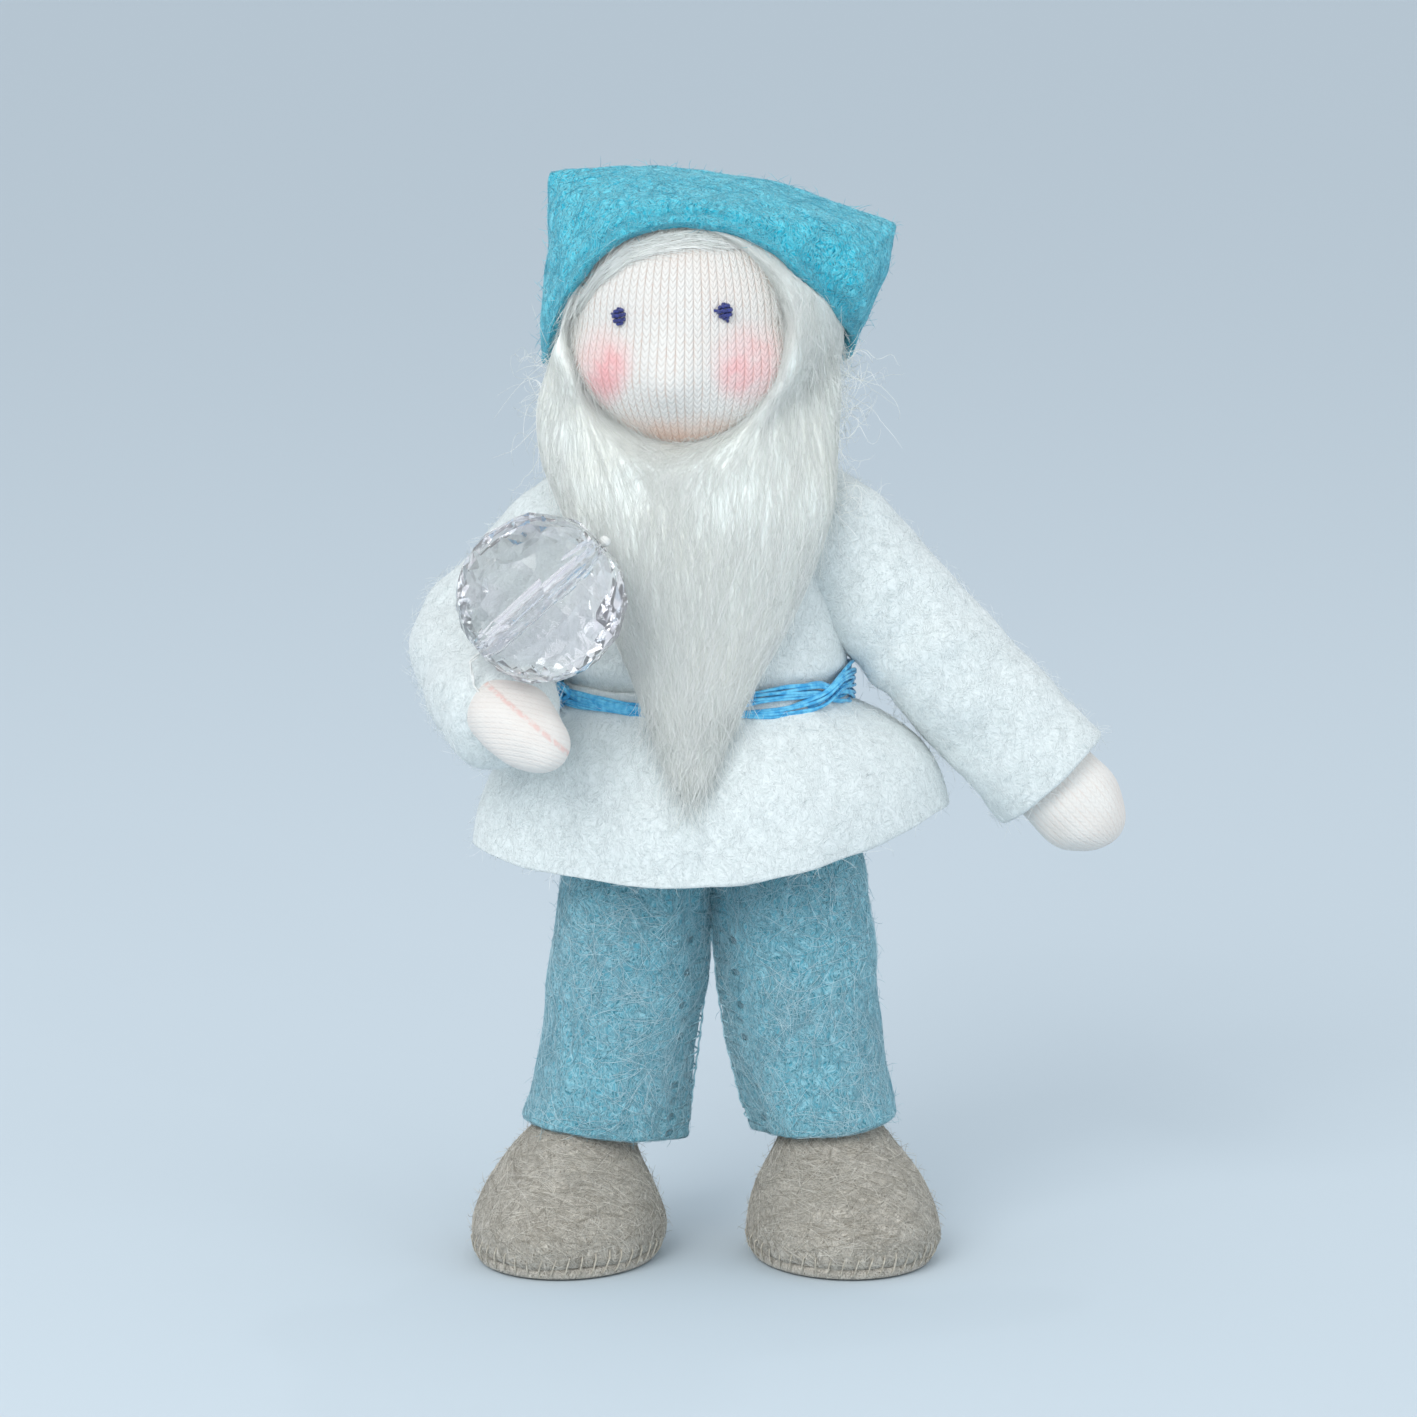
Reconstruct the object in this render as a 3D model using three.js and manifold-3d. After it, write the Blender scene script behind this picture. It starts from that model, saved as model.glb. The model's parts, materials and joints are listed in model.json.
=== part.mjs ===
// A small felt gnome doll with a bendable wire frame inside, standing on its own two shoes.
// It looks along -Y, +Z is up and its right side is at -X. All sizes are in millimetres and degrees.
// The wire frame is wrapped in wool, the garments are felt shells over the wool, the skin is a knitted
// shell over a wool filling, and one hand carries a clear faceted bead on a thread.

import * as THREE from "three";
import { mergeVertices } from "three/addons/utils/BufferGeometryUtils.js";
import Module from "manifold-3d";

const wasm = await Module();
wasm.setup();

// Driving dimensions: materials and clearances
const gap = 0.3;
const feltThickness = 1.2;
const knitThickness = 0.8;
const wireRadius = 0.5;
const threadRadius = 0.35;
const soleThreadRadius = 0.25;

// Legs and shoes
const soleThickness = 1.3;
const soleHalfWidth = 8.5;
const soleHalfLength = 11.2;
const toeReach = 3.2; // how far the middle of the sole lies in front of the ankle
const toeOut = 9;
const ankleHeight = 8;
const shoeHeight = 14.4;
const trouserHemAboveAnkle = 4.3;
const shinLength = 16.3;
const thighLength = 13.6;
const legSplay = 7;
const hipHalfSpan = 6.95;
const trouserHalfWidth = 6.75;
const trouserHalfDepth = 6.1;
const crotchHalfGap = 0.85;
const kneeBend = 80; // the most that a knee bends

// Trunk and tunic
const waistAboveHip = 13.6;
const shoulderAboveWaist = 16.6;
const shoulderHalfSpan = 9.5;
const waistHalfWidth = 12.9;
const waistHalfDepth = 9.3;
const hemHalfWidth = 21.3;
const hemHalfDepth = 14;
const skirtLength = 15.2; // from the waist to the hem, at the middle of the front
const hemSideLift = 3.6; // how much higher the hem is at the side seams
const hemRoll = 1.3; // the left end of the hem hangs higher than the right end
const skirtFolds = 7;
const foldDepth = 0.028; // of each fold at the hem, as a share of the distance from the middle
const foldTurn = 0.6;
const beltRadius = 0.45;
const beltPitch = 1.4;
const beltLoops = 2;

// Arms and hands
const upperArmLength = 16.5;
const cuffBelowElbow = 16.4;
const handLength = 8;
const handHalfWidth = 4.3;
const handHalfDepth = 3.8;
const wristHalfWidth = 3.2;
const wristHalfDepth = 2.9;
const wristInSleeve = 3.2; // how far the hand reaches up into the sleeve
const coreSlack = 0.6; // between the wool of an arm and its sleeve, besides the gap
const sleeveHalfWidth = 6.2;
const sleeveHalfDepth = 4.9;
const armDrop = 47; // below the horizontal
const slotMargin = 12; // degrees that the shoulder's slot goes on past each end of its swing
const armLower = 1; // how far an arm goes down from its place at rest, where it meets the belt
const armRaise = 60; // how far it goes up, until the sleeve meets the hair
const elbowBend = 90; // the most that an elbow bends
const rightElbowAtRest = 83;
const rightElbowTwist = 19.6; // turns the right elbow's bend inwards, about the arm

// Bead in the right hand
const beadRadius = 7.25;
const beadBore = 0.8;
const beadForward = 17.6;
const beadAside = 13.9;
const beadAboveShoulder = -5.2;
const beadTilt = 42; // of its bore, above the horizontal
const beadSides = 14;
const beadRows = 8;

// Head
const neckAboveShoulder = 5;
const neckRadius = 4.2;
const headRadius = 11.6;
const headAboveShoulder = 18.3;
const headAside = -1;
const noseRadius = 2.7;
const noseSink = 1.4; // how deep the middle of the nose lies under the skin
const noseAside = -1.3;
const noseDrop = 2.9;
const eyeRadius = 0.8;
const fleeceHalfWidth = headRadius + 2.5;
const fleeceHalfDepth = headRadius + 2.3;
const fleeceHalfHeight = headRadius + 1.6;
const parting = 1.2; // how far behind the spine the hair meets the beard
const faceHalfWidth = headRadius - 1.3; // of the skin that shows between the hat and the beard
const faceHalfHeight = headRadius - 2.4;
const hairThickness = 1.2; // of the layer inside the hat
const hairTop = 9; // how far up over the middle of the head it goes; the crown under the hat is bare
const hairDrop = 10.4; // how far the hair at the back hangs below the middle of the head
const hatHalfWidth = headRadius + 3.7;
const hatHalfDepth = headRadius + 2.6;
const hatAside = 1.9; // of the middle of its top seam
const hatRise = headRadius + 1.6; // of its top seam over the middle of the head
const hatSeamFall = 5; // from the seam's top to its left corner
const hatSeamTop = -7; // how far aside of the hat's middle the seam is highest
const beardLength = 42; // from the middle of the head to the tip
const beardTopDrop = 12; // how far down the round fleece of the cheeks goes on inside the beard

// Heights and places worked out from these
const splay = THREE.MathUtils.degToRad(legSplay);
const hipZ = ankleHeight + (shinLength + thighLength) * Math.cos(splay);
const waistZ = hipZ + waistAboveHip;
const shoulderZ = waistZ + shoulderAboveWaist;
const neckZ = shoulderZ + neckAboveShoulder;
const headZ = shoulderZ + headAboveShoulder;
const headPlace = new THREE.Vector3(headAside, 0.2, headZ);
const far = 60; // longer than any cutter needs
const kneeRadius = trouserHalfDepth + 0.1;
const elbowRadius = sleeveHalfDepth + 0.5;

// Materials, from the photograph
const felt = (colour) => new THREE.MeshStandardMaterial({ color: colour, roughness: 1, metalness: 0 });
const whiteFelt = felt(0xeef2f1);
const turquoiseFelt = felt(0x23a8b8);
const blueFelt = felt(0x65a3b3);
const greyFelt = felt(0x9c9183);
const knit = felt(0xf2ddd2);
const fleece = felt(0xe9e9e2);
const woolFilling = felt(0xe6e0d2);
const blueFloss = new THREE.MeshStandardMaterial({ color: 0x1c8fd0, roughness: 0.6, metalness: 0 });
const navyFloss = new THREE.MeshStandardMaterial({ color: 0x1d2a72, roughness: 0.7, metalness: 0 });
const paleThread = new THREE.MeshStandardMaterial({ color: 0xcfc6b4, roughness: 0.8, metalness: 0 });
const steelWire = new THREE.MeshStandardMaterial({ color: 0x9a9a9a, roughness: 0.4, metalness: 1 });
const clearAcrylic = new THREE.MeshStandardMaterial({
  color: 0xe8e6ec,
  roughness: 0.05,
  metalness: 0,
  transparent: true,
  opacity: 0.35,
});

// Joining and cutting
function solidOf(geometry) {
  const bare = geometry.clone();
  bare.deleteAttribute("normal");
  bare.deleteAttribute("uv");
  const merged = mergeVertices(bare, 1e-4);
  return new wasm.Manifold(
    new wasm.Mesh({
      numProp: 3,
      vertProperties: new Float32Array(merged.attributes.position.array),
      triVerts: new Uint32Array(merged.index.array),
    }),
  );
}

function geometryOf(solid) {
  const mesh = solid.getMesh();
  const places = new Float32Array(mesh.numVert * 3);
  for (let i = 0; i < mesh.numVert; i++) {
    const from = i * mesh.numProp;
    places.set(mesh.vertProperties.subarray(from, from + 3), i * 3);
  }
  const geometry = new THREE.BufferGeometry();
  geometry.setAttribute("position", new THREE.BufferAttribute(places, 3));
  geometry.setIndex(new THREE.BufferAttribute(new Uint32Array(mesh.triVerts), 1));
  geometry.computeVertexNormals();
  return geometry;
}

function addPiece(group, name, solid, material) {
  const mesh = new THREE.Mesh(geometryOf(solid), material);
  mesh.name = name;
  group.add(mesh);
  return mesh;
}

// Keeps the side of a plane that its normal points to.
const keep = (solid, normal, offset = 0) => solid.trimByPlane(normal, offset);
const moved = (solid, matrix) => solid.transform([...matrix.elements]);
const shifted = (solid, x, y, z) => moved(solid, new THREE.Matrix4().makeTranslation(x, y, z));

// Changes every vertex of a geometry with a function that changes a vector.
function warped(geometry, change) {
  const place = geometry.getAttribute("position");
  const v = new THREE.Vector3();
  for (let i = 0; i < place.count; i++) {
    change(v.fromBufferAttribute(place, i));
    place.setXYZ(i, v.x, v.y, v.z);
  }
  return geometry;
}

// A smooth curve through equally spaced values, at t from 0 to 1.
function smoothThrough(values, t) {
  const last = values.length - 1;
  const at = Math.min(t * last, last - 1e-9);
  const i = Math.floor(at);
  const u = at - i;
  const [p0, p1, p2, p3] = [-1, 0, 1, 2].map((k) => values[THREE.MathUtils.clamp(i + k, 0, last)]);
  const a = 2 * p1 + (p2 - p0) * u;
  const b = (2 * p0 - 5 * p1 + 4 * p2 - p3) * u * u;
  const c = (3 * p1 - p0 - 3 * p2 + p3) * u * u * u;
  return (a + b + c) / 2;
}

// A closed soft form that swells and tapers: ellipses from the top down, each [z, half width, half depth,
// middle x, middle y]. shape changes a vertex after that, from its place and its share of the way down.
function softForm(stations, { sides = 16, rings = 1, shape = null } = {}) {
  const steps = (stations.length - 1) * rings;
  const columns = [0, 1, 2, 3, 4].map((k) => stations.map((s) => s[k] ?? 0));
  const geometry = warped(new THREE.CylinderGeometry(1, 1, 1, sides, steps), (v) => {
    const t = 0.5 - v.y;
    const [z, halfWidth, halfDepth, midX, midY] = columns.map((c) => smoothThrough(c, t));
    v.set(midX + halfWidth * v.x, midY - halfDepth * v.z, z);
    if (shape) shape(v, t);
  });
  return solidOf(geometry);
}

// The same ellipses, grown on every side or, with a negative amount, drawn in.
const grown = (stations, by) => stations.map(([z, w, d, ...rest]) => [z, w + by, d + by, ...rest]);

// A felt shell: the outer form less an inner one that runs out of both its ends.
function shellOf(stations, thickness, options = {}) {
  const inner = grown(stations, -thickness);
  inner[0][0] += 1;
  inner[inner.length - 1][0] -= 1;
  return softForm(stations, options).subtract(softForm(inner, options));
}

const ball = (radius, place, sides = 20) =>
  shifted(solidOf(new THREE.SphereGeometry(radius, sides, sides / 2)), place.x, place.y, place.z);

// A straight rod between two points.
function rod(from, to, radius, sides = 8) {
  const along = new THREE.Vector3().subVectors(to, from);
  const turn = new THREE.Quaternion().setFromUnitVectors(
    new THREE.Vector3(0, 1, 0),
    along.clone().normalize(),
  );
  const middle = new THREE.Vector3().addVectors(from, to).multiplyScalar(0.5);
  const matrix = new THREE.Matrix4().compose(middle, turn, new THREE.Vector3(1, 1, 1));
  return moved(solidOf(new THREE.CylinderGeometry(radius, radius, along.length(), sides)), matrix);
}

// A round thread along a smooth line of points.
function threadAlong(points, radius, steps, sides = 6) {
  const section = new THREE.Shape();
  for (let i = 0; i < sides; i++) {
    const angle = (i / sides) * 2 * Math.PI;
    const corner = [radius * Math.cos(angle), radius * Math.sin(angle)];
    if (i) section.lineTo(...corner);
    else section.moveTo(...corner);
  }
  const path = new THREE.CatmullRomCurve3(points);
  return solidOf(new THREE.ExtrudeGeometry(section, { steps, bevelEnabled: false, extrudePath: path }));
}

// Bending joints. In a limb's own frame the limb runs along -Z, the joint is at the origin, and it bends
// towards the side that bendSide points to. The upper piece has a round end on the other side.
function bendSide(twist, towards) {
  const angle = THREE.MathUtils.degToRad(twist);
  return new THREE.Vector3(Math.sin(angle), towards * Math.cos(angle), 0);
}

const hingeOf = (side) => new THREE.Vector3(side.y, -side.x, 0);

function roundEnd(side, radius) {
  const axis = hingeOf(side);
  return rod(axis.clone().multiplyScalar(-far / 2), axis.clone().multiplyScalar(far / 2), radius, 20);
}

function upperOfBend(form, side, radius, mostBend, back = gap / 2) {
  const half = THREE.MathUtils.degToRad(mostBend / 2);
  const mitre = [-side.x * Math.sin(half), -side.y * Math.sin(half), Math.cos(half)];
  const straight = keep(keep(form, [0, 0, 1]), mitre, back);
  const round = keep(form.intersect(roundEnd(side, radius)), [-side.x, -side.y, 0]);
  return straight.add(round);
}

function lowerOfBend(form, side, radius, mostBend) {
  const half = THREE.MathUtils.degToRad(mostBend / 2);
  const mitre = [-side.x * Math.sin(half), -side.y * Math.sin(half), -Math.cos(half)];
  const straight = keep(keep(form, [0, 0, -1], gap / 2), mitre, gap / 2);
  const round = keep(roundEnd(side, radius + gap), [-side.x, -side.y, 0], -gap);
  return straight.subtract(round);
}

// What fills the notch on the inner side of a straight joint: the felt that creases as it bends.
function creaseOfBend(form, side, mostBend) {
  const half = THREE.MathUtils.degToRad(mostBend / 2);
  const under = [side.x * Math.sin(half), side.y * Math.sin(half), -Math.cos(half)];
  const over = [side.x * Math.sin(half), side.y * Math.sin(half), Math.cos(half)];
  const inner = keep(form, [side.x, side.y, 0], 2 * gap);
  return keep(keep(inner, under, gap), over, gap);
}

const doll = new THREE.Group();
const down = (distance) => new THREE.Vector3(0, 0, -distance);

// Trunk: one bent wire frame, the wool wrapped round it, and the seat of the trousers
function trunkWire(clearance) {
  const radius = wireRadius + clearance;
  const wireTop = headZ - 1.5;
  const spine = rod(new THREE.Vector3(0, 0, hipZ), new THREE.Vector3(0, 0, wireTop + clearance), radius);
  const bar = (half, z) => rod(new THREE.Vector3(-half, 0, z), new THREE.Vector3(half, 0, z), radius);
  const shoulders = bar(shoulderHalfSpan + clearance, shoulderZ);
  const hips = bar(hipHalfSpan + clearance, hipZ);
  return spine.add(shoulders).add(hips);
}

// Everything that an arm sweeps as it swings about the shoulder, side being 1 or -1.
function armSweep(side, depth) {
  const radius = sleeveHalfWidth + gap + 0.2;
  const low = THREE.MathUtils.degToRad(-armDrop - armLower);
  const high = THREE.MathUtils.degToRad(-armDrop + armRaise);
  const outline = new THREE.Shape();
  const corner = (angle, sign) => [
    far * Math.cos(angle) - sign * radius * Math.sin(angle),
    far * Math.sin(angle) + sign * radius * Math.cos(angle),
  ];
  outline.absarc(0, 0, radius, high + Math.PI / 2, low - Math.PI / 2 + 2 * Math.PI, false);
  outline.lineTo(...corner(low, -1));
  outline.lineTo(...corner(high, 1));
  const geometry = new THREE.ExtrudeGeometry(outline, {
    depth: 2 * depth,
    bevelEnabled: false,
    curveSegments: 10,
  });
  const placed = warped(geometry, (v) => v.set(v.x, depth - v.z, v.y));
  const onSide = side > 0 ? solidOf(placed) : solidOf(placed).mirror([1, 0, 0]);
  return shifted(onSide, side * shoulderHalfSpan, 0, shoulderZ);
}

const hipRadius = trouserHalfDepth + gap;
const hipAxisRod = (radius) =>
  rod(new THREE.Vector3(-far, 0, hipZ), new THREE.Vector3(far, 0, hipZ), radius, 32);

const coreStations = [
  [shoulderZ + 4.3, 2.9, 3],
  [shoulderZ, 3.4, 4.2],
  [waistZ + 10, 7.5, 5],
  [waistZ + 4, 9.4, 5.9],
  [waistZ - 1, 9.6, 5.8],
  [hipZ + hipRadius + 2.2, 8.4, 4.7],
];
const trunkCore = softForm(coreStations)
  .subtract(armSweep(1, far / 2))
  .subtract(armSweep(-1, far / 2))
  .subtract(trunkWire(gap));
addPiece(doll, "torso_wool_core", trunkCore, woolFilling);
addPiece(doll, "torso_wire_frame", trunkWire(0), steelWire);

const seatStations = [
  [waistZ - 1.2, 11.6, 7.4],
  [waistZ - 4.5, 12.4, 7.2],
  [waistZ - 8, 13.4, 6.6],
  [hipZ + 0.5, hipHalfSpan + trouserHalfWidth, trouserHalfDepth],
];
const seat = softForm(seatStations, { sides: 20 })
  .subtract(softForm(grown(coreStations, gap)))
  .subtract(hipAxisRod(hipRadius + gap))
  .subtract(trunkWire(gap));
addPiece(doll, "trouser_seat", seat, blueFelt);

// Tunic: a front and a back panel, sewn together down the sides, with armholes and a flared skirt
const flaredHalfWidth = (share) => waistHalfWidth + share * (hemHalfWidth - waistHalfWidth);
const flaredHalfDepth = (share) => waistHalfDepth + share * (hemHalfDepth - waistHalfDepth);
const tunicStations = [
  [shoulderZ + 5.6, 6.2, 5.9],
  [shoulderZ + 3.6, 10.4, 6.5],
  [shoulderZ - 1, 12.4, 7],
  [waistZ + 9, 13, 7.7],
  [waistZ + 4, 13.2, 8.5],
  [waistZ, waistHalfWidth, waistHalfDepth],
  [waistZ - 1.8, waistHalfWidth + 0.3, waistHalfDepth + 0.5],
  [waistZ - 0.3 * skirtLength, flaredHalfWidth(0.48), flaredHalfDepth(0.32)],
  [waistZ - 0.63 * skirtLength, flaredHalfWidth(0.88), flaredHalfDepth(0.8)],
  [waistZ - skirtLength, hemHalfWidth, hemHalfDepth],
];
const skirtShare = (t) => THREE.MathUtils.smoothstep(t, 0.55, 1);
function hemCurve(v, t) {
  const across = v.x / hemHalfWidth;
  const fold = 1 + skirtShare(t) * foldDepth * Math.cos(skirtFolds * Math.atan2(v.y, v.x) + foldTurn);
  v.x *= fold;
  v.y *= fold;
  v.z += skirtShare(t) * (hemSideLift * across * across + hemRoll * across);
}
const tunicOptions = { sides: 28, shape: hemCurve };
const tunicOuter = softForm(tunicStations, tunicOptions);
const tunicInnerStations = grown(tunicStations, -feltThickness);
tunicInnerStations[0][0] += 2;
tunicInnerStations[tunicStations.length - 1][0] -= 2;
const tunicShell = tunicOuter
  .subtract(softForm(tunicInnerStations, tunicOptions))
  .subtract(armSweep(1, sleeveHalfDepth + gap + 0.1))
  .subtract(armSweep(-1, sleeveHalfDepth + gap + 0.1));
addPiece(doll, "tunic_front", keep(tunicShell, [0, -1, 0], gap / 2), whiteFelt);
addPiece(doll, "tunic_back", keep(tunicShell, [0, 1, 0], gap / 2), whiteFelt);

// Belt: floss wound round the waist, with its knot in front of the right side seam
const knotAngle = THREE.MathUtils.degToRad(222);
const knotRadius = 1;
function beltPoint(turn) {
  const angle = knotAngle + turn * 2 * Math.PI;
  const clear = gap + beltRadius + 0.15;
  const drop = beltPitch * (turn - beltLoops / 2);
  const sideRise = 1.6 * Math.cos(angle) ** 2;
  return new THREE.Vector3(
    (waistHalfWidth + clear) * Math.cos(angle),
    (waistHalfDepth + clear) * Math.sin(angle),
    waistZ - 0.4 + sideRise - drop,
  );
}
const knotTurn = (knotRadius + beltRadius + gap) / (2 * Math.PI * waistHalfDepth);
const beltSteps = 24 * beltLoops;
const beltPoints = [];
for (let i = 0; i <= beltSteps; i++) {
  beltPoints.push(beltPoint(knotTurn + (i / beltSteps) * (beltLoops - 2 * knotTurn)));
}
addPiece(doll, "belt", threadAlong(beltPoints, beltRadius, beltSteps), blueFloss);
const knotPlace = beltPoint(0).add(beltPoint(beltLoops)).multiplyScalar(0.5);
const knotOut = knotRadius + beltRadius + gap;
knotPlace.x += knotOut * Math.cos(knotAngle);
knotPlace.y += knotOut * Math.sin(knotAngle);
const knotForm = warped(new THREE.SphereGeometry(knotRadius, 10, 8), (v) => {
  v.z *= 1.4;
});
addPiece(doll, "belt_knot", shifted(solidOf(knotForm), ...knotPlace.toArray()), blueFloss);

// The least gap between two loops of the belt, measured on its points.
let leastBeltGap = Infinity;
for (let i = 0; i <= beltSteps; i++) {
  for (let j = i + 12; j <= beltSteps; j++) {
    const apart = beltPoints[i].distanceTo(beltPoints[j]) - 2 * beltRadius;
    leastBeltGap = Math.min(leastBeltGap, apart);
  }
}
console.log("least gap of the belt to itself: " + leastBeltGap.toFixed(2) + " mm");

// Legs: a wire in wool in a felt trouser leg, hinged at the hip and at the knee, and a shoe
const kneeSide = bendSide(0, 1);
const trouserLeg = (top, bottom) => [
  [top, trouserHalfWidth, trouserHalfDepth],
  [top / 2, trouserHalfWidth + 0.1, trouserHalfDepth],
  [0, trouserHalfWidth, trouserHalfDepth],
  [-bottom / 2, trouserHalfWidth, trouserHalfDepth],
  [-bottom, trouserHalfWidth + 0.1, trouserHalfDepth - 0.1],
];
const legCore = (top, bottom) => grown(trouserLeg(top, bottom), -feltThickness - gap);

function shoeStations(inset) {
  return [
    [shoeHeight, 4.7 - inset, 4 - inset, 0, 0.2],
    [shoeHeight - 2.6, 4.8 - inset, 4.3 - inset, 0, -0.1],
    [shoeHeight - 5, 6.3 - inset, 6.9 - inset, 0, -1],
    [shoeHeight - 7.8, 7.6 - inset, 9.3 - inset, 0, -2.3],
    [shoeHeight - 10.4, soleHalfWidth - 0.1 - inset, soleHalfLength - 0.5 - inset, 0, -toeReach],
    [soleThickness + gap + inset, soleHalfWidth - 0.6 - inset, soleHalfLength - 0.6 - inset, 0, -toeReach],
  ];
}

function addShoe(shin, prefix, side, ankle) {
  const shoe = new THREE.Group();
  shoe.position.copy(ankle);
  shoe.rotation.y = side * splay;
  shin.add(shoe);
  const turned = new THREE.Group();
  turned.rotation.z = side * THREE.MathUtils.degToRad(toeOut);
  turned.position.z = -ankleHeight;
  shoe.add(turned);
  const inside = grown(shoeStations(feltThickness), 0);
  inside[0][0] += 2;
  const wireHole = rod(new THREE.Vector3(0, 0, 3.4), new THREE.Vector3(0, 0, far), wireRadius + gap + 0.5);
  const upper = softForm(shoeStations(0), { sides: 20 }).subtract(softForm(inside, { sides: 20 }));
  addPiece(turned, prefix + "shoe_upper", upper, greyFelt);
  const filling = softForm(shoeStations(feltThickness + gap));
  const shortFilling = keep(filling, [0, 0, -1], -shoeHeight + 2.4).subtract(wireHole);
  addPiece(turned, prefix + "shoe_filling", shortFilling, woolFilling);
  const soleOutline = [
    [soleThickness, soleHalfWidth - 0.6, soleHalfLength - 0.6, 0, -toeReach],
    [soleThickness / 2, soleHalfWidth, soleHalfLength, 0, -toeReach],
    [0, soleHalfWidth - 0.3, soleHalfLength - 0.3, 0, -toeReach],
  ];
  addPiece(turned, prefix + "shoe_sole", softForm(soleOutline, { sides: 20 }), greyFelt);
  const seam = warped(new THREE.TorusGeometry(1, 0.001, 4, 24), (v) => {
    const angle = Math.atan2(v.y, v.x);
    const tube = new THREE.Vector3(v.x - Math.cos(angle), v.y - Math.sin(angle), v.z).divideScalar(0.001);
    const out = gap + soleThreadRadius - 0.4;
    v.set(
      (soleHalfWidth + out) * Math.cos(angle) + soleThreadRadius * tube.x,
      (soleHalfLength + out) * Math.sin(angle) - toeReach + soleThreadRadius * tube.y,
      soleThickness + gap / 2 + soleThreadRadius * tube.z,
    );
  });
  addPiece(turned, prefix + "sole_thread", solidOf(seam), paleThread);
}

function addLeg(side, prefix) {
  const thigh = new THREE.Group();
  thigh.position.set(side * hipHalfSpan, 0, hipZ);
  thigh.rotation.y = -side * splay;
  doll.add(thigh);
  const toThigh = new THREE.Matrix4().makeRotationY(side * splay);
  const inThigh = (solid) => moved(shifted(solid, -side * hipHalfSpan, 0, -hipZ), toThigh);
  const roundHip = keep(hipAxisRod(trouserHalfDepth), [0, 0, 1], hipZ - 0.5);
  const belowHip = keep(
    solidOf(new THREE.BoxGeometry(far, far, far)).translate([0, 0, hipZ - far / 2]),
    [side, 0, 0],
    crotchHalfGap,
  );
  const hipShape = inThigh(belowHip.add(keep(roundHip, [side, 0, 0], crotchHalfGap)));
  const barStart = new THREE.Vector3(0, 0, hipZ);
  const barEnd = new THREE.Vector3(side * (hipHalfSpan + 1), 0, hipZ);
  const barHole = inThigh(rod(barStart, barEnd, wireRadius + gap));
  const knee = down(thighLength);
  const atKnee = (solid) => shifted(solid, knee.x, knee.y, knee.z);
  const kneeWireHole = rod(down(-far / 2), down(far / 2), wireRadius + gap);

  const legShell = shellOf(trouserLeg(thighLength + 8, thighLength + 4), feltThickness);
  const capTop = keep(softForm(trouserLeg(thighLength + 8, thighLength + 4)), [0, 0, 1], thighLength + 4.6);
  const upperShell = upperOfBend(legShell, kneeSide, kneeRadius, kneeBend).add(capTop);
  addPiece(
    thigh,
    prefix + "trouser_thigh",
    atKnee(upperShell).intersect(hipShape).subtract(barHole),
    blueFelt,
  );
  const coreForm = keep(
    softForm(legCore(thighLength + 4, thighLength + 4)),
    [0, 0, -1],
    -thighLength - 4.6 + gap,
  );
  const upperCore = upperOfBend(coreForm, kneeSide, kneeRadius - feltThickness, kneeBend);
  addPiece(
    thigh,
    prefix + "thigh_wool",
    atKnee(upperCore.subtract(kneeWireHole)).intersect(hipShape).subtract(barHole),
    woolFilling,
  );
  const thighWire = rod(down(wireRadius + 0.4), down(thighLength), wireRadius);
  addPiece(thigh, prefix + "thigh_wire", thighWire, steelWire);
  const creaseForm = softForm(trouserLeg(thighLength, shinLength));
  addPiece(thigh, prefix + "knee_crease", atKnee(creaseOfBend(creaseForm, kneeSide, kneeBend)), blueFelt);

  const shin = new THREE.Group();
  shin.position.copy(knee);
  thigh.add(shin);
  const hem = shinLength - trouserHemAboveAnkle;
  const shinShell = shellOf(trouserLeg(thighLength, hem), feltThickness);
  addPiece(
    shin,
    prefix + "trouser_shin",
    lowerOfBend(shinShell, kneeSide, kneeRadius, kneeBend),
    blueFelt,
  );
  const shinCoreEnd = shinLength + ankleHeight - shoeHeight - gap - trouserHalfWidth * Math.sin(splay);
  const shinCore = lowerOfBend(
    keep(softForm(legCore(thighLength, shinLength)), [0, 0, 1], -shinCoreEnd),
    kneeSide,
    kneeRadius - feltThickness,
    kneeBend,
  );
  addPiece(shin, prefix + "shin_wool", shinCore.subtract(kneeWireHole), woolFilling);
  const wireEnd = shinLength + ankleHeight - 4.2;
  addPiece(shin, prefix + "shin_wire", rod(down(kneeRadius), down(wireEnd), wireRadius), steelWire);
  addShoe(shin, prefix, side, down(shinLength));
}

addLeg(-1, "right_");
addLeg(1, "left_");

// Arms: a wire in wool in a felt sleeve, hinged at the shoulder and at the elbow, and a stuffed hand
const sleeve = (top, bottom) => [
  [top, sleeveHalfWidth, sleeveHalfDepth - 0.1],
  [top / 2, sleeveHalfWidth, sleeveHalfDepth],
  [0, sleeveHalfWidth + 0.1, sleeveHalfDepth + 0.2],
  [-bottom / 2, sleeveHalfWidth + 0.1, sleeveHalfDepth + 0.3],
  [-bottom, sleeveHalfWidth, sleeveHalfDepth + 0.3],
];
const armCore = (top, bottom) => grown(sleeve(top, bottom), -feltThickness - gap - coreSlack);
const handStations = (inset) => [
  [-cuffBelowElbow + wristInSleeve, wristHalfWidth - inset, wristHalfDepth - inset],
  [-cuffBelowElbow, handHalfWidth * 0.91 - inset, handHalfDepth * 0.89 - inset],
  [-cuffBelowElbow - handLength * 0.35, handHalfWidth - inset, handHalfDepth - inset],
  [-cuffBelowElbow - handLength * 0.7 + inset / 2, handHalfWidth * 0.88 - inset, handHalfDepth * 0.9 - inset],
  [-cuffBelowElbow - handLength * 0.92 + inset, handHalfWidth * 0.56 - inset, handHalfDepth * 0.58 - inset],
  [-cuffBelowElbow - handLength + inset, handHalfWidth * 0.2 - inset / 2, handHalfDepth * 0.23 - inset / 2],
];

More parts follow.
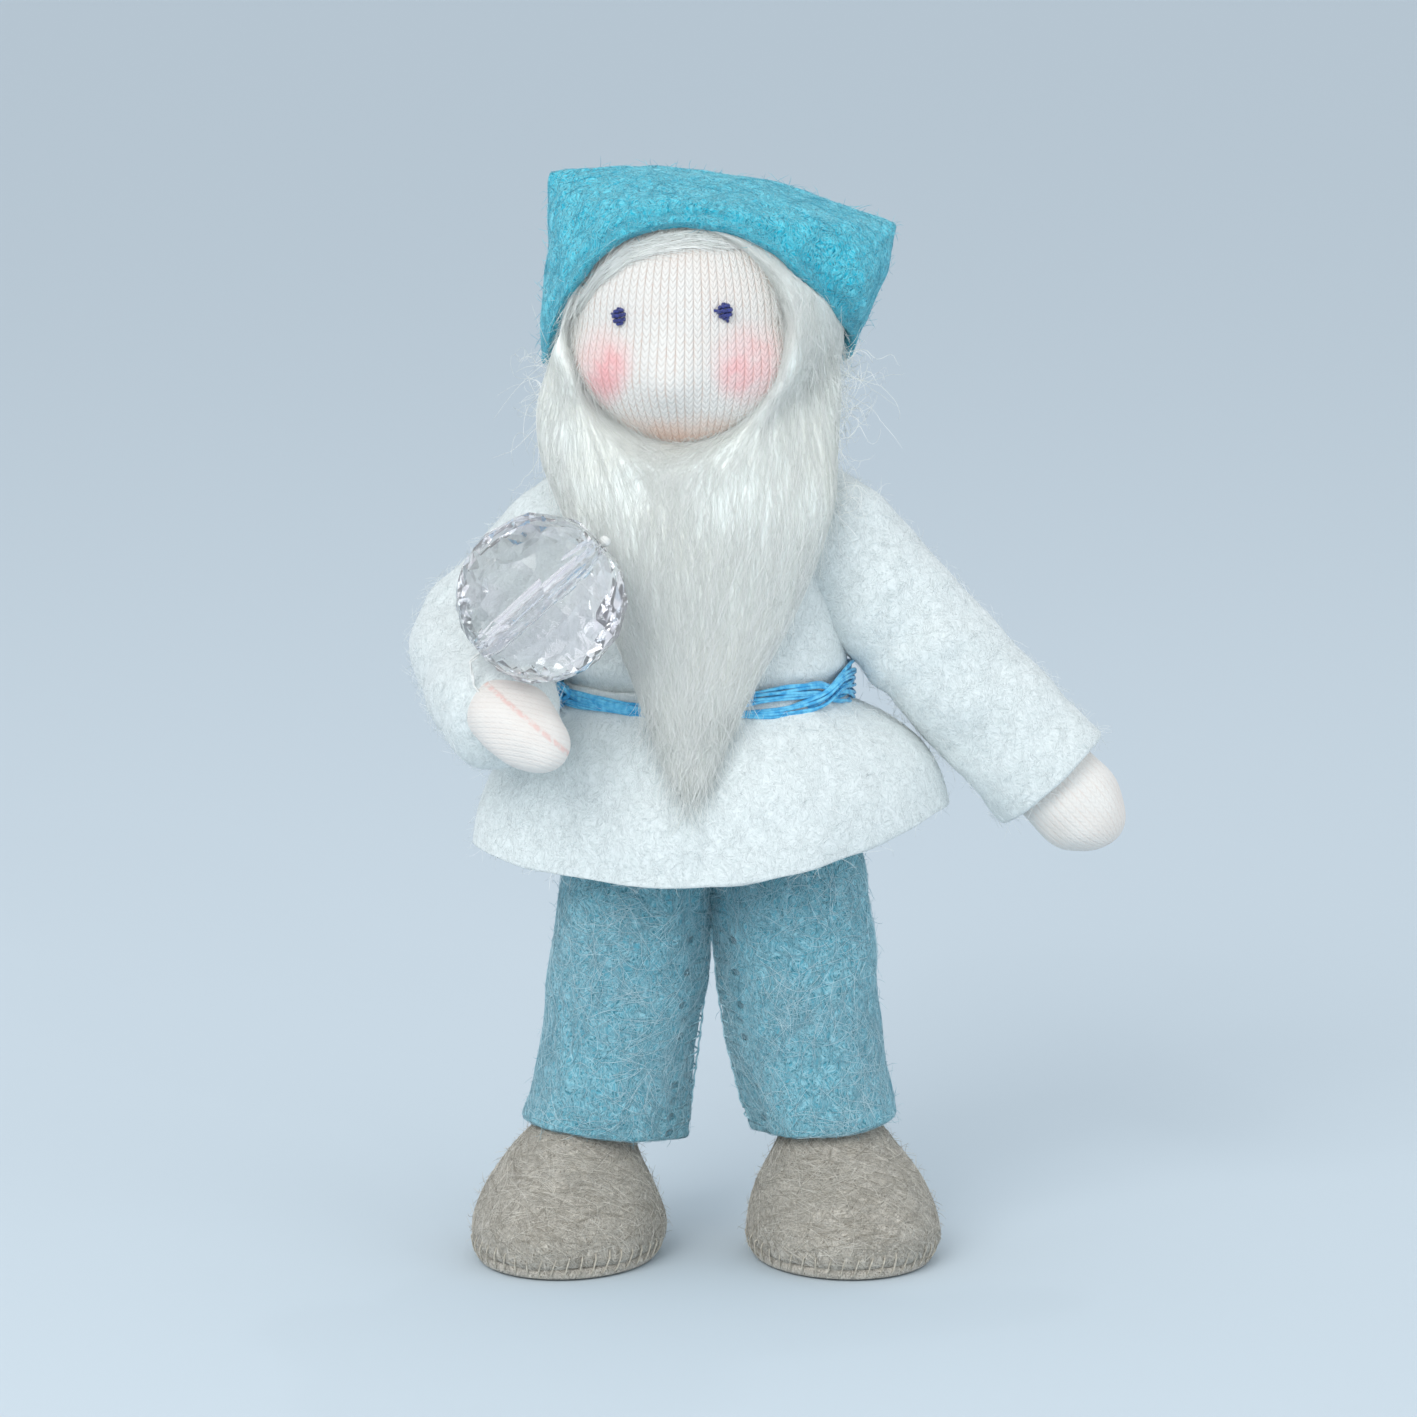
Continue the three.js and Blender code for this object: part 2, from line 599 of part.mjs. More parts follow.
function addArm(side, prefix, twist, atRest) {
  const bend = bendSide(side < 0 ? twist : -twist, -1);
  const arm = new THREE.Group();
  arm.position.set(side * shoulderHalfSpan, 0, shoulderZ);
  arm.rotation.y = -side * THREE.MathUtils.degToRad(90 - armDrop);
  doll.add(arm);
  const elbow = down(upperArmLength);
  const atElbow = (solid) => shifted(solid, elbow.x, elbow.y, elbow.z);
  const wireHole = rod(down(-far / 2), down(far / 2), wireRadius + gap);

  // The sleeve's shoulder is a half round about the swing's axis, with a slot for the frame's bar
  const roundShoulder = rod(new THREE.Vector3(0, -far, 0), new THREE.Vector3(0, far, 0), sleeveHalfWidth, 22);
  const belowShoulder = solidOf(new THREE.BoxGeometry(far, far, far)).translate([0, 0, -far / 2]);
  const shoulderShape = roundShoulder.add(belowShoulder);
  const insideRound = rod(
    new THREE.Vector3(0, -sleeveHalfDepth + feltThickness, 0),
    new THREE.Vector3(0, sleeveHalfDepth - feltThickness, 0),
    sleeveHalfWidth - feltThickness,
    22,
  );
  const slotSpread = (angle) => THREE.MathUtils.degToRad(90 + angle);
  const slotOutline = new THREE.Shape();
  const slotReach = 2 * sleeveHalfWidth;
  const slotLow = slotSpread(side > 0 ? armDrop - armRaise - slotMargin : -(armDrop + armLower) - slotMargin);
  const slotHigh = slotSpread(side > 0 ? armDrop + armLower + slotMargin : armRaise - armDrop + slotMargin);
  slotOutline.moveTo(0, -2);
  slotOutline.lineTo(slotReach * Math.cos(slotLow), slotReach * Math.sin(slotLow));
  slotOutline.lineTo(0, slotReach * 1.6);
  slotOutline.lineTo(slotReach * Math.cos(slotHigh), slotReach * Math.sin(slotHigh));
  const slotWidth = 2 * (wireRadius + gap);
  const slot = warped(
    new THREE.ExtrudeGeometry(slotOutline, { depth: slotWidth, bevelEnabled: false }),
    (v) => v.set(v.x, slotWidth / 2 - v.z, v.y),
  );
  const outer = softForm(sleeve(upperArmLength + 8, cuffBelowElbow));
  const inner = softForm(grown(sleeve(upperArmLength + 8, cuffBelowElbow), -feltThickness));
  const insideUpper = atElbow(
    upperOfBend(inner, bend, elbowRadius - feltThickness, elbowBend, -feltThickness),
  );
  const upperInner = keep(insideUpper, [0, 0, -1]).add(insideRound.intersect(insideUpper));
  const upperSleeve = atElbow(upperOfBend(outer, bend, elbowRadius, elbowBend))
    .intersect(shoulderShape)
    .subtract(upperInner)
    .subtract(solidOf(slot));
  addPiece(arm, prefix + "upper_sleeve", upperSleeve, whiteFelt);
  const core = softForm(armCore(upperArmLength, cuffBelowElbow));
  const upperCore = upperOfBend(core, bend, elbowRadius - feltThickness - coreSlack, elbowBend);
  addPiece(
    arm,
    prefix + "upper_arm_wool",
    keep(atElbow(upperCore.subtract(wireHole)), [0, 0, -1], wireRadius + 0.5),
    woolFilling,
  );
  addPiece(
    arm,
    prefix + "upper_arm_wire",
    rod(down(wireRadius + 0.4), down(upperArmLength), wireRadius),
    steelWire,
  );
  if (atRest === 0) {
    const crease = atElbow(creaseOfBend(outer, bend, elbowBend));
    addPiece(arm, prefix + "elbow_crease", crease, whiteFelt);
  }

  const forearm = new THREE.Group();
  forearm.position.copy(elbow);
  forearm.quaternion.setFromAxisAngle(hingeOf(bend), THREE.MathUtils.degToRad(atRest));
  arm.add(forearm);
  const lowerStations = sleeve(upperArmLength, cuffBelowElbow);
  const lowerSleeve = lowerOfBend(shellOf(lowerStations, feltThickness), bend, elbowRadius, elbowBend);
  addPiece(forearm, prefix + "lower_sleeve", lowerSleeve, whiteFelt);
  const coreEnd = cuffBelowElbow - wristInSleeve - gap;
  const lowerCore = lowerOfBend(keep(core, [0, 0, 1], -coreEnd), bend, elbowRadius, elbowBend);
  addPiece(forearm, prefix + "forearm_wool", lowerCore.subtract(wireHole), woolFilling);
  const wireEnd = cuffBelowElbow + handLength * 0.5;
  addPiece(
    forearm,
    prefix + "forearm_wire",
    rod(down(elbowRadius + gap), down(wireEnd), wireRadius),
    steelWire,
  );
  const handSkin = softForm(handStations(0));
  const hollow = handStations(knitThickness);
  hollow[0][0] += 1;
  addPiece(
    forearm,
    prefix + "hand_skin",
    handSkin.subtract(softForm(hollow)),
    knit,
  );
  const filling = softForm(handStations(knitThickness + gap));
  const handWireHole = rod(down(0), down(wireEnd + gap), wireRadius + gap);
  addPiece(forearm, prefix + "hand_filling", filling.subtract(handWireHole), woolFilling);
  return forearm;
}

const rightForearm = addArm(-1, "right_", rightElbowTwist, rightElbowAtRest);
addArm(1, "left_", 0, 0);

// The bead, faceted in rows round its bore, and the thread that holds it on the hand
const beadPlace = new THREE.Vector3(-beadAside, -beadForward, shoulderZ + beadAboveShoulder);
const boreAxis = new THREE.Vector3(
  Math.cos(THREE.MathUtils.degToRad(beadTilt)),
  0,
  Math.sin(THREE.MathUtils.degToRad(beadTilt)),
);
const beadTurn = new THREE.Quaternion().setFromUnitVectors(new THREE.Vector3(0, 0, 1), boreAxis);
const beadMatrix = new THREE.Matrix4().compose(beadPlace, beadTurn, new THREE.Vector3(1, 1, 1));
const facetStep = Math.PI / beadSides;
const beadForm = warped(new THREE.CylinderGeometry(1, 1, 1, beadSides, beadRows), (v) => {
  const row = Math.round((0.5 - v.y) * beadRows);
  const tilt = ((row + 0.5) / (beadRows + 1)) * Math.PI;
  const out = Math.hypot(v.x, v.z) * beadRadius * Math.sin(tilt);
  const round = Math.atan2(-v.z, v.x) + (row % 2) * facetStep;
  v.set(out * Math.cos(round), out * Math.sin(round), beadRadius * Math.cos(tilt));
});
const boreRod = rod(new THREE.Vector3(0, 0, -far / 2), new THREE.Vector3(0, 0, far / 2), beadBore, 12);
addPiece(doll, "faceted_bead", moved(solidOf(beadForm).subtract(boreRod), beadMatrix), clearAcrylic);

doll.updateMatrixWorld(true);
const handTop = new THREE.Vector3(0, 0, -cuffBelowElbow - handLength * 0.42)
  .applyMatrix4(rightForearm.matrixWorld)
  .add(new THREE.Vector3(-0.9, 0.4, 4.3 + gap + threadRadius));
const throughBead = (distance) => boreAxis.clone().multiplyScalar(distance).add(beadPlace);
const threadPoints = [
  handTop,
  throughBead(-beadRadius - 1),
  throughBead(-beadRadius),
  throughBead(-beadRadius / 2),
  throughBead(0),
  throughBead(beadRadius / 2),
  throughBead(beadRadius),
  throughBead(beadRadius + 0.6),
];
const beadThread = threadAlong(threadPoints, threadRadius, 16);
const threadKnot = ball(1.2, throughBead(beadRadius + 1), 8);
addPiece(doll, "bead_thread", beadThread.add(threadKnot), paleThread);

// Head: a wool ball in a knitted skin, gathered and tied at the neck
const neckStub = (radius, low, high) =>
  rod(new THREE.Vector3(0, 0, low), new THREE.Vector3(0, 0, high), radius, 20);
const onHead = (x, y, z, distance) =>
  new THREE.Vector3(x, y, z).normalize().multiplyScalar(distance).add(headPlace);
const nosePlace = onHead(
  noseAside,
  -Math.sqrt(headRadius ** 2 - noseAside ** 2 - noseDrop ** 2),
  -noseDrop,
  headRadius - noseSink,
);
const neckTop = headZ - headRadius + 3;
const spineHole = rod(
  new THREE.Vector3(0, 0, neckZ - 5),
  new THREE.Vector3(0, 0, headZ - 1.5 + gap),
  wireRadius + gap,
);
const headCore = ball(headRadius - knitThickness - gap, headPlace, 20)
  .add(neckStub(neckRadius - knitThickness - gap, neckZ, neckTop))
  .subtract(spineHole);
addPiece(doll, "head_wool_ball", headCore, woolFilling);
const headSkin = ball(headRadius, headPlace)
  .add(neckStub(neckRadius, neckZ, neckTop))
  .add(ball(noseRadius, nosePlace, 12))
  .subtract(ball(headRadius - knitThickness, headPlace))
  .subtract(neckStub(neckRadius - knitThickness, neckZ - 1, neckTop))
  .subtract(ball(noseRadius - knitThickness, nosePlace, 12));
addPiece(doll, "head_skin", headSkin, knit);
const nosePad = ball(noseRadius - knitThickness - gap, nosePlace, 12).subtract(
  ball(headRadius - knitThickness, headPlace),
);
addPiece(doll, "nose_pad", nosePad, woolFilling);
const tieRadius = 0.4;
const neckTie = new THREE.TorusGeometry(neckRadius + gap + tieRadius, tieRadius, 5, 18);
addPiece(doll, "neck_tie", shifted(solidOf(neckTie), 0, 0, neckZ + 1.2), paleThread);
for (const [name, x, z] of [["right_eye", -6.5, 1.1], ["left_eye", 2.4, 1.8]]) {
  const place = onHead(x, -Math.sqrt(headRadius ** 2 - x * x - z * z), z, headRadius + 0.2);
  const knot = ball(eyeRadius, place, 10).subtract(ball(headRadius + 0.1, headPlace));
  addPiece(doll, name, knot, navyFloss);
}

// Hat: a flat felt bag with two corners, pulled over the head and open along the face
function hatForm(by) {
  const seamFall = (v, t) => {
    const aside = (v.x - hatSeamTop) / (hatHalfWidth - hatSeamTop);
    v.z -= (1 - t) * hatSeamFall * aside * aside;
  };
  const w = hatHalfWidth + by;
  const d = hatHalfDepth + by;
  const top = headZ + hatRise + by;
  const stations = [
    [top, w - 0.4, 1.8 + by],
    [top - 1.3, w, d * 0.45],
    [headZ + 9.9 + by, w - 0.25, d * 0.74, -0.35],
    [headZ + 5.5 + by, w - 0.4, d * 0.94, -0.6],
    [headZ - 2, w - 0.85, d, -1.95],
    [headZ - 9, w - 1.3, d - 1, -2],
  ];
  const form = softForm(stations, { sides: 24, shape: seamFall });
  return shifted(form, hatAside, headPlace.y, 0);
}
const hatMiddle = hatForm(0);
const hatInside = hatForm(-feltThickness);
const faceEdge = [0, 0.8, 0.6]; // the face opening's plane, its normal pointing up and back
const faceEdgeOffset = 0.6 * (headZ - 2.8);
const backEdge = headZ - 5.5;
const hatShell = keep(keep(hatMiddle.subtract(hatInside), faceEdge, faceEdgeOffset), [0, 0, 1], backEdge);
addPiece(doll, "hat", hatShell, turquoiseFelt);
const hatSpace = hatForm(gap);
const underHat = keep(keep(hatSpace, faceEdge, faceEdgeOffset - gap), [0, 0, 1], backEdge - gap);

// Fleece: hair round the back of the head, and a beard from the hat's edge down to the skirt
const fleeceBall = warped(new THREE.SphereGeometry(1, 22, 12), (v) => {
  v.set(fleeceHalfWidth * v.x + headAside, -fleeceHalfDepth * v.z, fleeceHalfHeight * v.y + headZ - 1);
});
const neckSpace = neckStub(neckRadius + 2 * gap + 2 * tieRadius, neckZ - 1, neckTop);
const headSpace = ball(headRadius + gap, headPlace).add(neckSpace);
const behindFace = (solid, by) => keep(keep(solid, faceEdge, faceEdgeOffset + by), [0, 0, 1], backEdge - 1);
const hairBelowHat = keep(
  keep(keep(solidOf(fleeceBall), [0, 1, 0], parting), [0, 0, 1], headZ - hairDrop),
  [0, 0, -1],
  -(backEdge - gap),
);
const hairLayer = behindFace(hatForm(-feltThickness - gap), 1).intersect(
  ball(headRadius + gap + hairThickness, headPlace),
);
const hairInHat = keep(hairLayer, [0, 0, -1], -(headZ + hairTop));
addPiece(doll, "hair", hairBelowHat.add(hairInHat).subtract(headSpace), fleece);

const beardStations = [
  [headZ - 1, 13.2, 3, headAside, -4.5],
  [headZ - 6, 13.7, 4.6, headAside, -6.6],
  [headZ - 12, 13.6, 5.4, headAside, -7.2],
  [headZ - 17, 12.2, 5.4, 0, -7.6],
  [headZ - 24, 9.6, 5, 0, -8],
  [headZ - 30, 6.6, 4.2, 0, -9.6],
  [headZ - 36, 4, 3, -0.8, -11.6],
  [headZ - beardLength + 1.5, 1.8, 1.6, -0.8, -13],
  [headZ - beardLength, 0.5, 0.5, -0.6, -13.4],
];
const faceHole = warped(new THREE.CylinderGeometry(1, 1, 1, 24, 1), (v) => {
  v.set(faceHalfWidth * v.x + headAside - 0.6, 20 * v.y - 10, faceHalfHeight * v.z + headZ + 0.6);
});
const beardTop = keep(keep(solidOf(fleeceBall), [0, -1, 0], gap - parting), [0, 0, 1], headZ - beardTopDrop);
const hairSpace = keep(solidOf(fleeceBall), [0, 1, 0], parting - gap);
const tunicSpace = softForm(grown(tunicStations, gap), tunicOptions);
const beltSpace = softForm(
  [
    [waistZ + 4, waistHalfWidth + 1.6, waistHalfDepth + 1.6],
    [waistZ - 4, waistHalfWidth + 1.6, waistHalfDepth + 1.6],
  ],
  { sides: 28 },
);
const shoulderSpace = (side) =>
  rod(
    new THREE.Vector3(side * shoulderHalfSpan, -sleeveHalfDepth - gap, shoulderZ),
    new THREE.Vector3(side * shoulderHalfSpan, sleeveHalfDepth + gap, shoulderZ),
    sleeveHalfWidth + 2 * gap,
    22,
  );
const beard = softForm(beardStations, { sides: 20 })
  .add(beardTop)
  .subtract(shoulderSpace(1))
  .subtract(shoulderSpace(-1))
  .subtract(solidOf(faceHole))
  .subtract(headSpace)
  .subtract(underHat)
  .subtract(hairSpace)
  .subtract(tunicSpace)
  .subtract(beltSpace);
addPiece(doll, "beard", beard, fleece);

// The origin is under the middle of the whole doll, on the floor
const box = new THREE.Box3().setFromObject(doll, true);
const part = new THREE.Group();
doll.position.set(-(box.min.x + box.max.x) / 2, -(box.min.y + box.max.y) / 2, -box.min.z);
part.add(doll);

export default part;
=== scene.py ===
import json
import math

import bpy
import numpy as np
from mathutils import Matrix, Vector, noise
from mathutils.bvhtree import BVHTree
from mathutils.kdtree import KDTree

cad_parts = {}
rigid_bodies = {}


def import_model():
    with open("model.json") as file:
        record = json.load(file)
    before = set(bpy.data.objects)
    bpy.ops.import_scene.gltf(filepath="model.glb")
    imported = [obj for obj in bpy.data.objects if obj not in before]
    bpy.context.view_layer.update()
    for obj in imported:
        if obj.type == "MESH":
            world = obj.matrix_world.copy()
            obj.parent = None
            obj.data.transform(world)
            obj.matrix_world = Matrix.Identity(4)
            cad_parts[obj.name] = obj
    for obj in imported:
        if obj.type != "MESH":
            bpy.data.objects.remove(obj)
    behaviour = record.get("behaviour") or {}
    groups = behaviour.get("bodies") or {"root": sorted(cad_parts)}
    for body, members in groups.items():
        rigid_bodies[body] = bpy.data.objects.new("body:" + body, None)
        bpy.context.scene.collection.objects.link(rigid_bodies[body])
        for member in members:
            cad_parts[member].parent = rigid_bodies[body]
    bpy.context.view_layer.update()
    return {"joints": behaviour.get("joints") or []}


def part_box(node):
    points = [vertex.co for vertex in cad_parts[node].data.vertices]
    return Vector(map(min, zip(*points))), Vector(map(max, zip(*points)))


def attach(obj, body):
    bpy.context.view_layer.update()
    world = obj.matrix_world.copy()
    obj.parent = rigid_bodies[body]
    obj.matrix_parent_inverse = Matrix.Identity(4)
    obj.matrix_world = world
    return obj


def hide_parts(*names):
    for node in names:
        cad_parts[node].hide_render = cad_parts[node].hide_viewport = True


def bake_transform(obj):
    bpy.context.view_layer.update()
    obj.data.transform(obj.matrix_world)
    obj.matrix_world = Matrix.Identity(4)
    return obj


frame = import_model()
mm = 0.001

# Places that the frame gives
jointPlace = {joint["name"]: Vector(joint["pos_m"]) for joint in frame["joints"]}
jointAxis = {joint["name"]: Vector(joint["axis"]) for joint in frame["joints"]}
spine = jointPlace["neck_turn"].copy()
spine.z = 0  # the point on the floor under the neck
coreLow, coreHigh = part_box("head_wool_ball")
coreRadius = (coreHigh.x - coreLow.x) / 2
headRadius = coreRadius / mm + 1.1  # the wool ball, a little air and the knitted skin
headMiddle = (coreLow + coreHigh) / 2
headMiddle.z = coreHigh.z - coreRadius
headX, headY, headZ = (headMiddle - spine) / mm


def at(x, y, z):
    # a place in the part's frame, from millimetres right and back of the spine and above the floor
    return spine + Vector((x, y, z)) * mm


# Working by hand


def deselectAll():
    if bpy.context.object and bpy.context.object.mode != "OBJECT":
        bpy.ops.object.mode_set(mode="OBJECT")
    bpy.ops.object.select_all(action="DESELECT")


def pick(*objects):
    deselectAll()
    for obj in objects:
        obj.select_set(True)
    bpy.context.view_layer.objects.active = objects[0]


def useModifier(obj, kind, **settings):
    pick(obj)
    modifier = obj.modifiers.new(kind.lower(), kind)
    for key, value in settings.items():
        setattr(modifier, key, value)
    bpy.ops.object.modifier_apply(modifier=modifier.name)


def smoothSurface(obj, levels):
    useModifier(obj, "SUBSURF", levels=levels, render_levels=levels)


def joined(name, *objects):
    pick(*objects)
    bpy.ops.object.join()
    objects[0].name = name
    return objects[0]


def settle(obj, matrix=None):
    # moves the mesh, not the object, so that the object stays at the origin
    if matrix is not None:
        obj.matrix_world = matrix @ obj.matrix_world
    pick(obj)
    bpy.ops.object.transform_apply(location=True, rotation=True, scale=True)


def outside(obj):
    pick(obj)
    bpy.ops.object.mode_set(mode="EDIT")
    bpy.ops.mesh.select_all(action="SELECT")
    bpy.ops.mesh.remove_doubles(threshold=1e-6)
    bpy.ops.mesh.normals_make_consistent(inside=False)
    bpy.ops.object.mode_set(mode="OBJECT")


def meshPoints(obj):
    points = np.empty(len(obj.data.vertices) * 3)
    obj.data.vertices.foreach_get("co", points)
    return points.reshape(-1, 3)


def setPoints(obj, points):
    obj.data.vertices.foreach_set("co", points.ravel())
    obj.data.update()


def localPoints(obj):
    # in millimetres from the spine's foot
    return (meshPoints(obj) - np.array(spine)) / mm


def setLocal(obj, points):
    setPoints(obj, points * mm + np.array(spine))


def meshNormals(obj):
    return np.array([v.normal for v in obj.data.vertices])


def loopVertices(mesh):
    corners = np.empty(len(mesh.loops), int)
    mesh.loops.foreach_get("vertex_index", corners)
    return corners


def addMap(mesh, name, uv):
    mesh.uv_layers.new(name=name).data.foreach_set("uv", uv.ravel())


def eased(share):
    # 0 below 0, 1 above 1, and a soft step between them
    share = np.clip(share, 0, 1)
    return share * share * (3 - 2 * share)


def between(rings, steps):
    # more rings on a smooth curve through the given ones
    rings = [list(ring) + [0] * (5 - len(ring)) for ring in rings]
    smooth = []
    for i in range(len(rings) - 1):
        p0, p1, p2, p3 = (np.array(rings[min(max(i + k, 0), len(rings) - 1)]) for k in (-1, 0, 1, 2))
        for step in range(steps):
            u = step / steps
            bend = (2 * p0 - 5 * p1 + 4 * p2 - p3) * u * u + (3 * p1 - p0 - 3 * p2 + p3) * u**3
            smooth.append((2 * p1 + (p2 - p0) * u + bend) / 2)
    smooth.append(np.array(rings[-1]))
    return smooth


def loft(name, rings, sides=32, steps=2):
    # a closed form drawn ring by ring: height, half width, half depth, and the ring's middle x and y
    rings = between(rings, steps)
    deselectAll()
    bpy.ops.mesh.primitive_circle_add(vertices=sides, radius=mm, fill_type="NGON")
    obj = bpy.context.object
    obj.name = name
    bpy.ops.object.mode_set(mode="EDIT")
    last = None
    for height, halfWidth, halfDepth, x, y in rings:
        middle = Vector((x, y, height)) * mm
        if last is None:
            bpy.ops.transform.translate(value=middle)
            scale = (halfWidth, halfDepth, 1)
        else:
            bpy.ops.mesh.extrude_region_move(TRANSFORM_OT_translate={"value": middle - last[0]})
            scale = (halfWidth / last[1], halfDepth / last[2], 1)
        bpy.ops.transform.resize(value=scale, center_override=middle)
        last = (middle, halfWidth, halfDepth)
    bpy.ops.object.mode_set(mode="OBJECT")
    outside(obj)
    return obj


def cutOff(obj, place, normal, fill=False):
    # removes what lies on the side that the normal points to
    pick(obj)
    bpy.ops.object.mode_set(mode="EDIT")
    bpy.ops.mesh.select_all(action="SELECT")
    bpy.ops.mesh.bisect(
        plane_co=place, plane_no=normal, clear_outer=True, use_fill=fill, threshold=1e-6
    )
    bpy.ops.object.mode_set(mode="OBJECT")


def rimPoints(obj):
    # the loose edge's vertices, left selected in edit mode
    pick(obj)
    bpy.ops.object.mode_set(mode="EDIT")
    bpy.ops.mesh.select_mode(type="VERT")
    bpy.ops.mesh.select_all(action="DESELECT")
    bpy.ops.mesh.select_non_manifold(
        extend=False, use_wire=False, use_boundary=True, use_multi_face=False,
        use_non_contiguous=False, use_verts=False,
    )


def feltEdge(obj, axis, wall, depth, span):
    # gives the loose edge left by a cut the thick rounded edge of felt, and a wall back inside
    rimPoints(obj)
    bpy.ops.object.mode_set(mode="OBJECT")
    rim = np.array([v.co for v in obj.data.vertices if v.select])
    middle = Vector((rim.min(0) + rim.max(0)) / 2)
    bpy.ops.object.mode_set(mode="EDIT")
    reach, scale = 0, Vector((1, 1, 1))
    # how far out each ring of the edge lies, and its share of the way through the wall
    for out, share in ((0.2, 0.12), (0.3, 0.5), (0.2, 0.88), (0, 1), (-depth, 1.1)):
        step = axis * (out - reach) * mm
        middle += step
        bpy.ops.mesh.extrude_region_move(TRANSFORM_OT_translate={"value": step})
        wanted = Vector([1 - wall * share / s for s in span])
        ratio = [wanted[i] / scale[i] for i in range(3)]
        bpy.ops.transform.resize(value=ratio, center_override=middle)
        reach, scale = out, wanted
    bpy.ops.object.mode_set(mode="OBJECT")


def waves(obj, size, strength, seed):
    # the slight unevenness of soft felt
    points = meshPoints(obj)
    normals = meshNormals(obj)
    shift = Vector((seed * 7.1, seed * 3.7, seed * 5.3))
    lift = np.array([noise.noise(Vector(p / (size * mm)) + shift) for p in points])
    setPoints(obj, points + normals * (lift * strength * mm)[:, None])


def smoothShade(*objects):
    for obj in objects:
        pick(obj)
        bpy.ops.object.shade_smooth()


def threads(name, lines, radius, sides=2, closed=False):
    # each line of points becomes a round thread
    curve = bpy.data.curves.new(name, "CURVE")
    curve.dimensions = "3D"
    curve.bevel_depth = radius * mm
    curve.bevel_resolution = sides
    curve.resolution_u = 1
    curve.use_fill_caps = not closed
    for line in lines:
        spline = curve.splines.new("POLY")
        spline.points.add(len(line) - 1)
        for point, place in zip(spline.points, line):
            point.co = (*place, 1)
        spline.use_cyclic_u = closed
    obj = bpy.data.objects.new(name, curve)
    bpy.context.collection.objects.link(obj)
    pick(obj)
    bpy.ops.object.convert(target="MESH")
    outside(bpy.context.object)
    return bpy.context.object


# Fibres: real tapering hairs grown on a surface


def surfaceSamples(source, count, rng, allowed):
    mesh = source.data
    mesh.calc_loop_triangles()
    corners = np.empty(len(mesh.loop_triangles) * 3, int)
    mesh.loop_triangles.foreach_get("vertices", corners)
    a, b, c = (meshPoints(source)[corners.reshape(-1, 3)[:, i]] for i in range(3))
    cross = np.cross(b - a, c - a)
    size = np.linalg.norm(cross, axis=1)
    weight = size.copy()
    normals = cross / np.maximum(size, 1e-12)[:, None]
    if allowed:
        weight *= allowed(((a + b + c) / 3 - np.array(spine)) / mm, normals)
    chosen = rng.choice(len(weight), size=count, p=weight / weight.sum())
    u, v = rng.random((2, count))
    over = u + v > 1
    u[over], v[over] = 1 - u[over], 1 - v[over]
    places = a[chosen] + (b - a)[chosen] * u[:, None] + (c - a)[chosen] * v[:, None]
    return places, normals[chosen]


def unit(vectors):
    return vectors / np.maximum(np.linalg.norm(vectors, axis=-1, keepdims=True), 1e-12)


def hairMesh(name, paths, radius):
    # paths is hairs by points by 3: a three-sided hair that tapers to a closed tip
    count, steps = paths.shape[:2]
    along = unit(np.gradient(paths, axis=1))
    aside = unit(np.cross(along, np.roll(along, 1, axis=2) + np.array([0.3, 0.5, 0.8])))
    across = np.cross(along, aside)
    taper = (1 - (np.arange(steps) / steps) ** 2.2 * 0.75)[None, :] * radius[:, None]
    rings = []
    for corner in range(3):
        angle = corner * 2 * math.pi / 3
        way = math.cos(angle) * aside + math.sin(angle) * across
        rings.append(paths + way * taper[:, :, None])
    body = np.stack(rings, axis=2)[:, :-1].reshape(count, -1, 3)
    points = np.concatenate([body, paths[:, -1:]], axis=1)
    size = points.shape[1]
    faces = [(0, 2, 1)]
    for ring in range(steps - 2):
        for corner in range(3):
            low, high = ring * 3 + corner, ring * 3 + (corner + 1) % 3
            faces += [(low, high, high + 3), (low, high + 3, low + 3)]
    last = (steps - 2) * 3
    faces += [(last + corner, last + (corner + 1) % 3, last + 3) for corner in range(3)]
    faces = (np.array(faces)[None] + (np.arange(count) * size)[:, None, None]).reshape(-1, 3)
    mesh = bpy.data.meshes.new(name)
    mesh.vertices.add(count * size)
    mesh.vertices.foreach_set("co", points.ravel())
    mesh.loops.add(faces.size)
    mesh.loops.foreach_set("vertex_index", faces.ravel().astype(np.int32))
    mesh.polygons.add(len(faces))
    mesh.polygons.foreach_set("loop_start", np.arange(0, faces.size, 3, dtype=np.int32))
    mesh.polygons.foreach_set("use_smooth", np.ones(len(faces), bool))
    mesh.update(calc_edges=True)
    shades = np.random.default_rng(count).random(count)
    mesh.attributes.new("shade", "FLOAT", "POINT").data.foreach_set("value", np.repeat(shades, size))
    obj = bpy.data.objects.new(name, mesh)
    bpy.context.collection.objects.link(obj)
    return obj


def seedOf(side, seed):
    # the left piece has the seed itself and the right one the next
    return seed if side == "left" else seed + 1


